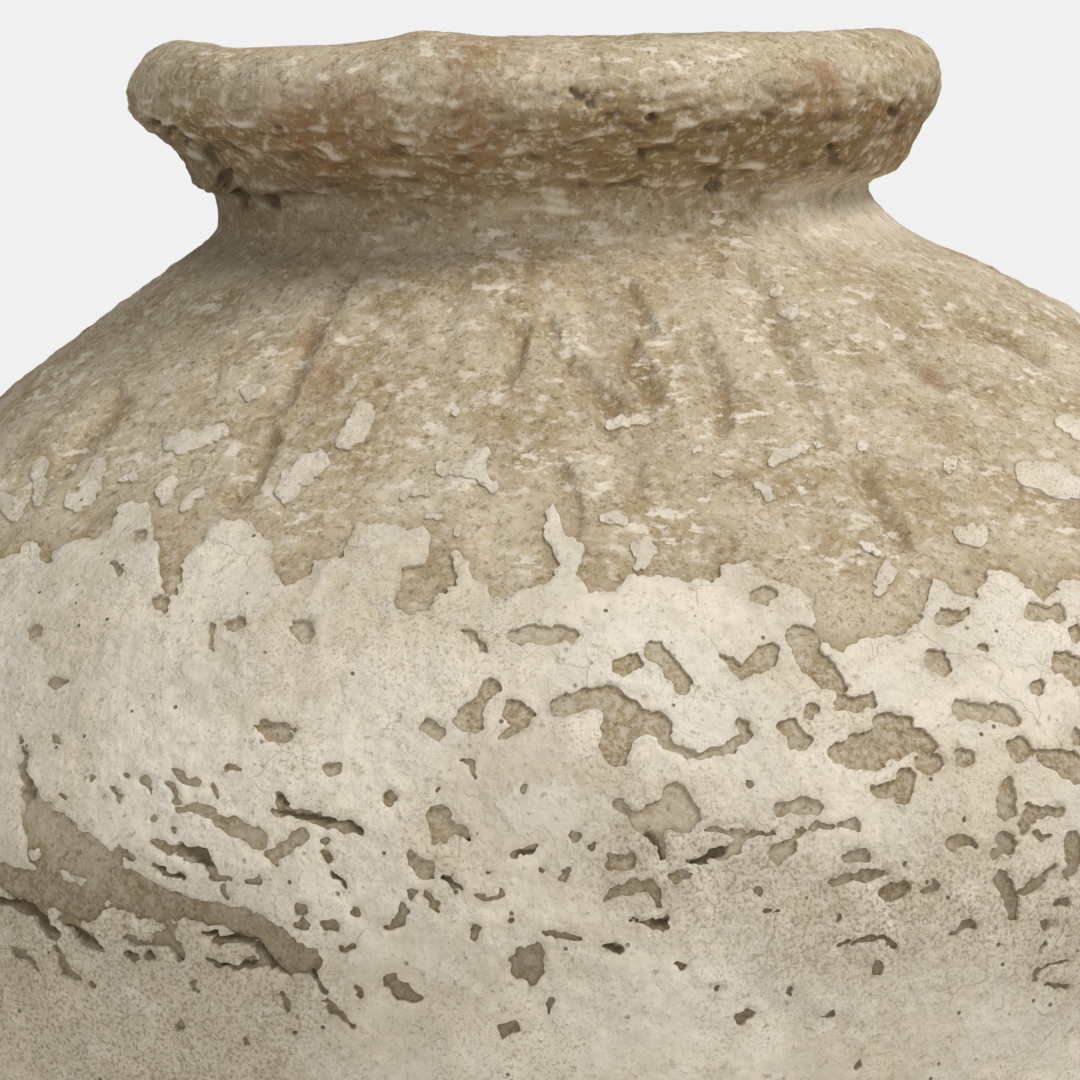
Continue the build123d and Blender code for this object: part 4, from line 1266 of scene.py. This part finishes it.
@functools.cache
def lime_plaster():
    """Finish of the plaster coats and flakes."""
    # Lime plaster, trowelled on thin and weathered: matt and pale, with soft clouds and lumps, sandy grains,
    # pinholes, faint hair cracks and soiled edges
    finish = new_finish("weathered_lime_plaster", 0.9)
    tree = finish.tree
    pattern = functools.partial(grain, tree, finish.place)
    soil = add_node(tree, "ShaderNodeAttribute", attribute_name="soil").outputs["Fac"]
    inside = add_node(tree, "ShaderNodeAttribute", attribute_name="inside").outputs["Fac"]
    lumps = add_node(tree, "ShaderNodeTexNoise", {
        "Vector": finish.place, "Scale": 1 / (6 * MM), "Detail": 3.0,
    })
    bent = add_node(tree, "ShaderNodeVectorMath", {
        0: lumps.outputs["Color"], 1: (6 * MM, 6 * MM, 6 * MM), 2: finish.place,
    }, operation="MULTIPLY_ADD")
    cells = add_node(tree, "ShaderNodeTexVoronoi", {
        "Vector": bent.outputs[0], "Scale": 1 / (13 * MM),
    }, feature="DISTANCE_TO_EDGE")
    spots = add_node(tree, "ShaderNodeTexVoronoi", {
        "Vector": finish.place, "Scale": 1 / (4.5 * MM),
    }, feature="F1")
    cracks, pinholes, rim = (
        add_node(tree, "ShaderNodeMapRange", {
            "Value": value, "From Min": low, "From Max": high, **FALLING,
        }).outputs["Result"]
        for value, low, high in (
            (cells.outputs["Distance"], 0.0, 0.014),
            (spots.outputs["Distance"], 0.06, 0.1),
            (inside, 0.0, 1.4),
        )
    )
    cracks, pinholes = (
        add_node(tree, "ShaderNodeMath", {0: value, 1: share}, operation="MULTIPLY").outputs[0]
        for value, share in ((cracks, pattern(18, 3, 0.5, 0.62)), (pinholes, pattern(15, 3, 0.46, 0.56)))
    )
    skins = pattern(14, 7, 0.505, 0.55)
    body = laid(tree, "plaster_pale", (
        ("plaster_shade", 0.7, pattern(28, 4, 0.4, 0.62)),
        ("plaster_warm", 0.4, pattern(40, 3, 0.5, 0.66)),
        ("plaster_white", 0.4, skins),
        ("plaster_shade", 0.35, pattern(3.2, 5, 0.5, 0.68)),
        ("plaster_dirt", 0.6, pattern(1.5, 7, 0.57, 0.7)),
        ("plaster_dirt", 0.5, pattern(0.6, 2, 0.52, 0.66), pattern(20, 5, 0.35, 0.62)),
        ("plaster_dirt", 0.15, cracks),
        ("plaster_soil", 0.5, soil, pattern(6, 7, 0.2, 0.6)),
        ("plaster_dirt", 0.7, soil, pattern(0.7, 3, 0.47, 0.64)),
        ("plaster_dirt", 0.25, rim, pattern(6, 4, 0.42, 0.62)),
        ("mud_hollow_shade", 0.8, pinholes),
    ))
    grit = add_node(tree, "ShaderNodeTexNoise", {
        "Vector": finish.place, "Scale": 1 / (1.8 * MM), "Detail": 6.0,
    })
    height = grit.outputs["Fac"]
    for part, share in ((skins, 0.2), (lumps.outputs["Fac"], 1.6)):
        values = {0: part, 1: share, 2: height}
        height = add_node(tree, "ShaderNodeMath", values, operation="MULTIPLY_ADD").outputs[0]
    opened = add_node(tree, "ShaderNodeMath", {0: cracks, 1: 0.3}, operation="MULTIPLY").outputs[0]
    opened = add_node(tree, "ShaderNodeMath", {0: pinholes, 1: opened}, operation="MAXIMUM").outputs[0]
    height = add_node(tree, "ShaderNodeMath", {0: height, 1: opened}, operation="SUBTRACT").outputs[0]
    set_surface(finish, body, height, 0.8, 0.6)
    return finish.material


@functools.cache
def fired_terracotta():
    """Finish of the clay sections and their luting coils."""
    # Fired terracotta, coarse clay baked at low heat: matt orange-brown, with smoked patches and grit
    finish = new_finish("fired_terracotta", 0.92)
    tree = finish.tree
    body = laid(tree, "clay", (
        ("clay_dark", 1.0, grain(tree, finish.place, 38, 5, 0.42, 0.66)),
        ("clay_dark", 0.4, grain(tree, finish.place, 2.2, 4, 0.5, 0.7)),
    ))
    grit = add_node(tree, "ShaderNodeTexNoise", {
        "Vector": finish.place, "Scale": 1 / (2.0 * MM), "Detail": 4.0,
    })
    set_surface(finish, body, grit.outputs["Fac"], 0.5, 0.6)
    return finish.material


# Operators

class URN_OT_clay_core(bpy.types.Operator):
    """Give the fired clay sections and their luting coils their terracotta finish"""
    bl_idname = "urn.clay_core"
    bl_label = "Finish clay core"

    def execute(self, context):
        finish = fired_terracotta()
        for node in CLAY_NODES:
            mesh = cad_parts[node].data
            mesh.materials.clear()
            mesh.materials.append(finish)
        return {"FINISHED"}


class URN_OT_mud_coats(bpy.types.Operator):
    """Lay the three lifts of the mud coat over collar, shoulder and belly"""
    bl_idname = "urn.mud_coats"
    bl_label = "Lay mud coats"

    def execute(self, context):
        finish = dried_mud()
        for name, coat in (("mud_coat_collar", collar_mud()), ("mud_coat_shoulder", shoulder_mud()),
                           ("mud_coat_belly", belly_mud())):
            make_coat(name, coat, columns(), finish)
        return {"FINISHED"}


class URN_OT_plaster_coats(bpy.types.Operator):
    """Lay the chipped lime plaster over shoulder and belly"""
    bl_idname = "urn.plaster_coats"
    bl_label = "Lay plaster coats"

    def execute(self, context):
        upper = shoulder_surface()
        lower = belly_surface()
        skins = (
            ("plaster_coat_shoulder", upper, shoulder_sway(upper), shoulder_mud(), shoulder_cover().coat),
            ("plaster_coat_belly", lower, broad_waves(lower.base), belly_mud(), belly_cover()),
        )
        for name, surface, sway, mud, cover in skins:
            make_plaster(name, surface, sway, mud, cover, 1.0, lime_plaster())
        return {"FINISHED"}


class URN_OT_plaster_flakes(bpy.types.Operator):
    """Leave the loose flakes of plaster on the bare shoulder"""
    bl_idname = "urn.plaster_flakes"
    bl_label = "Leave plaster flakes"

    def execute(self, context):
        upper = shoulder_surface()
        flakes = shoulder_cover().flakes
        sway = shoulder_sway(upper)
        make_plaster("plaster_flakes", upper, sway, shoulder_mud(), flakes, FLAKE_SHARE, lime_plaster())
        return {"FINISHED"}


class URN_OT_stage(bpy.types.Operator):
    """Set the pale floor, the soft lights, the background and the camera"""
    bl_idname = "urn.stage"
    bl_label = "Set stage"

    def execute(self, context):
        scene = context.scene
        scene.view_settings.view_transform = "Standard"
        make_floor(scene)
        for name, spot, breadth, power in LAMPS:
            make_lamp(scene, name, spot, breadth, power)
        make_backdrop(scene)
        make_camera(scene)
        return {"FINISHED"}


def make_floor(scene):
    """Round pale floor under the pot."""
    mesh = bpy.data.meshes.new("floor")
    turns = np.linspace(0, 2 * math.pi, FLOOR_CORNERS, endpoint=False)
    ring = [(FLOOR_RADIUS * math.cos(turn), FLOOR_RADIUS * math.sin(turn), 0) for turn in turns]
    mesh.from_pydata(ring, [], [list(range(FLOOR_CORNERS))])
    # Floor paint, rolled on evenly: matt and plain, so that only the pot's shadow shows on it
    finish = new_finish("painted_floor", 0.9)
    finish.shader.inputs["Base Color"].default_value = tint("floor")
    mesh.materials.append(finish.material)
    floor = bpy.data.objects.new("floor", mesh)
    scene.collection.objects.link(floor)


def make_lamp(scene, name, spot, breadth, power):
    """Square soft lamp that looks at the shoulder of the pot."""
    lamp = bpy.data.lights.new(name, "AREA")
    lamp.size = breadth
    lamp.energy = power
    holder = bpy.data.objects.new(name, lamp)
    holder.location = spot
    holder.rotation_euler = (Vector(LAMP_TARGET) - Vector(spot)).to_track_quat("-Z", "Y").to_euler()
    scene.collection.objects.link(holder)


def make_backdrop(scene):
    """Even pale background for the eye, with softer light for the pot."""
    world = bpy.data.worlds.new("studio")
    world.use_nodes = True
    tree = world.node_tree
    tree.nodes.clear()
    rays = add_node(tree, "ShaderNodeLightPath")
    seen = rays.outputs["Is Camera Ray"]
    for ray in ("Is Glossy Ray", "Is Transmission Ray"):
        values = {0: seen, 1: rays.outputs[ray]}
        seen = add_node(tree, "ShaderNodeMath", values, operation="MAXIMUM").outputs[0]
    light = add_node(tree, "ShaderNodeBackground", {"Color": hex_colour("#FFFFFF"), "Strength": AMBIENT})
    shown = add_node(tree, "ShaderNodeBackground", {"Color": hex_colour(BACKGROUND), "Strength": 1.0})
    mix = add_node(tree, "ShaderNodeMixShader", {0: seen, 1: light.outputs[0], 2: shown.outputs[0]})
    add_node(tree, "ShaderNodeOutputWorld", {"Surface": mix.outputs[0]})
    scene.world = world


def make_camera(scene):
    """Camera that looks at the lip and shoulder from a little above."""
    view = scene.urn_view
    camera = bpy.data.cameras.new("camera")
    camera.lens = view.lens
    camera.sensor_width = SENSOR
    camera.clip_start = CAMERA_NEAR
    holder = bpy.data.objects.new("camera", camera)
    holder.location = (-view.across, -view.away, view.eye)
    holder.rotation_euler = (math.radians(90) - view.pitch, 0, 0)
    scene.collection.objects.link(holder)
    scene.camera = holder


class URN_PT_panel(bpy.types.Panel):
    """Sidebar panel with the steps and settings of the urn"""
    bl_idname = "URN_PT_panel"
    bl_label = "Urn vase"
    bl_space_type = "VIEW_3D"
    bl_region_type = "UI"
    bl_category = "Urn"

    def draw(self, context):
        for step in STEPS:
            self.layout.operator(step.bl_idname)
        for settings in (context.scene.urn_sizes, context.scene.urn_colours, context.scene.urn_view):
            for name in settings.bl_rna.properties.keys():
                if name not in ("rna_type", "name"):
                    self.layout.prop(settings, name)


STEPS = (URN_OT_clay_core, URN_OT_mud_coats, URN_OT_plaster_coats, URN_OT_plaster_flakes, URN_OT_stage)
CLASSES = (UrnSizes, UrnColours, UrnView, *STEPS, URN_PT_panel)


def register():
    """Add the classes and settings of the urn to Blender."""
    for entry in CLASSES:
        bpy.utils.register_class(entry)
    bpy.types.Scene.urn_sizes = bpy.props.PointerProperty(type=UrnSizes)
    bpy.types.Scene.urn_colours = bpy.props.PointerProperty(type=UrnColours)
    bpy.types.Scene.urn_view = bpy.props.PointerProperty(type=UrnView)


def unregister():
    """Take the classes and settings of the urn out of Blender."""
    del bpy.types.Scene.urn_view
    del bpy.types.Scene.urn_colours
    del bpy.types.Scene.urn_sizes
    for entry in reversed(CLASSES):
        bpy.utils.unregister_class(entry)


def main():
    """Build every piece and the stage."""
    register()
    bpy.ops.urn.clay_core()
    bpy.ops.urn.mud_coats()
    bpy.ops.urn.plaster_coats()
    bpy.ops.urn.plaster_flakes()
    bpy.ops.urn.stage()
    bpy.context.view_layer.update()


if __name__ == "__main__":
    main()
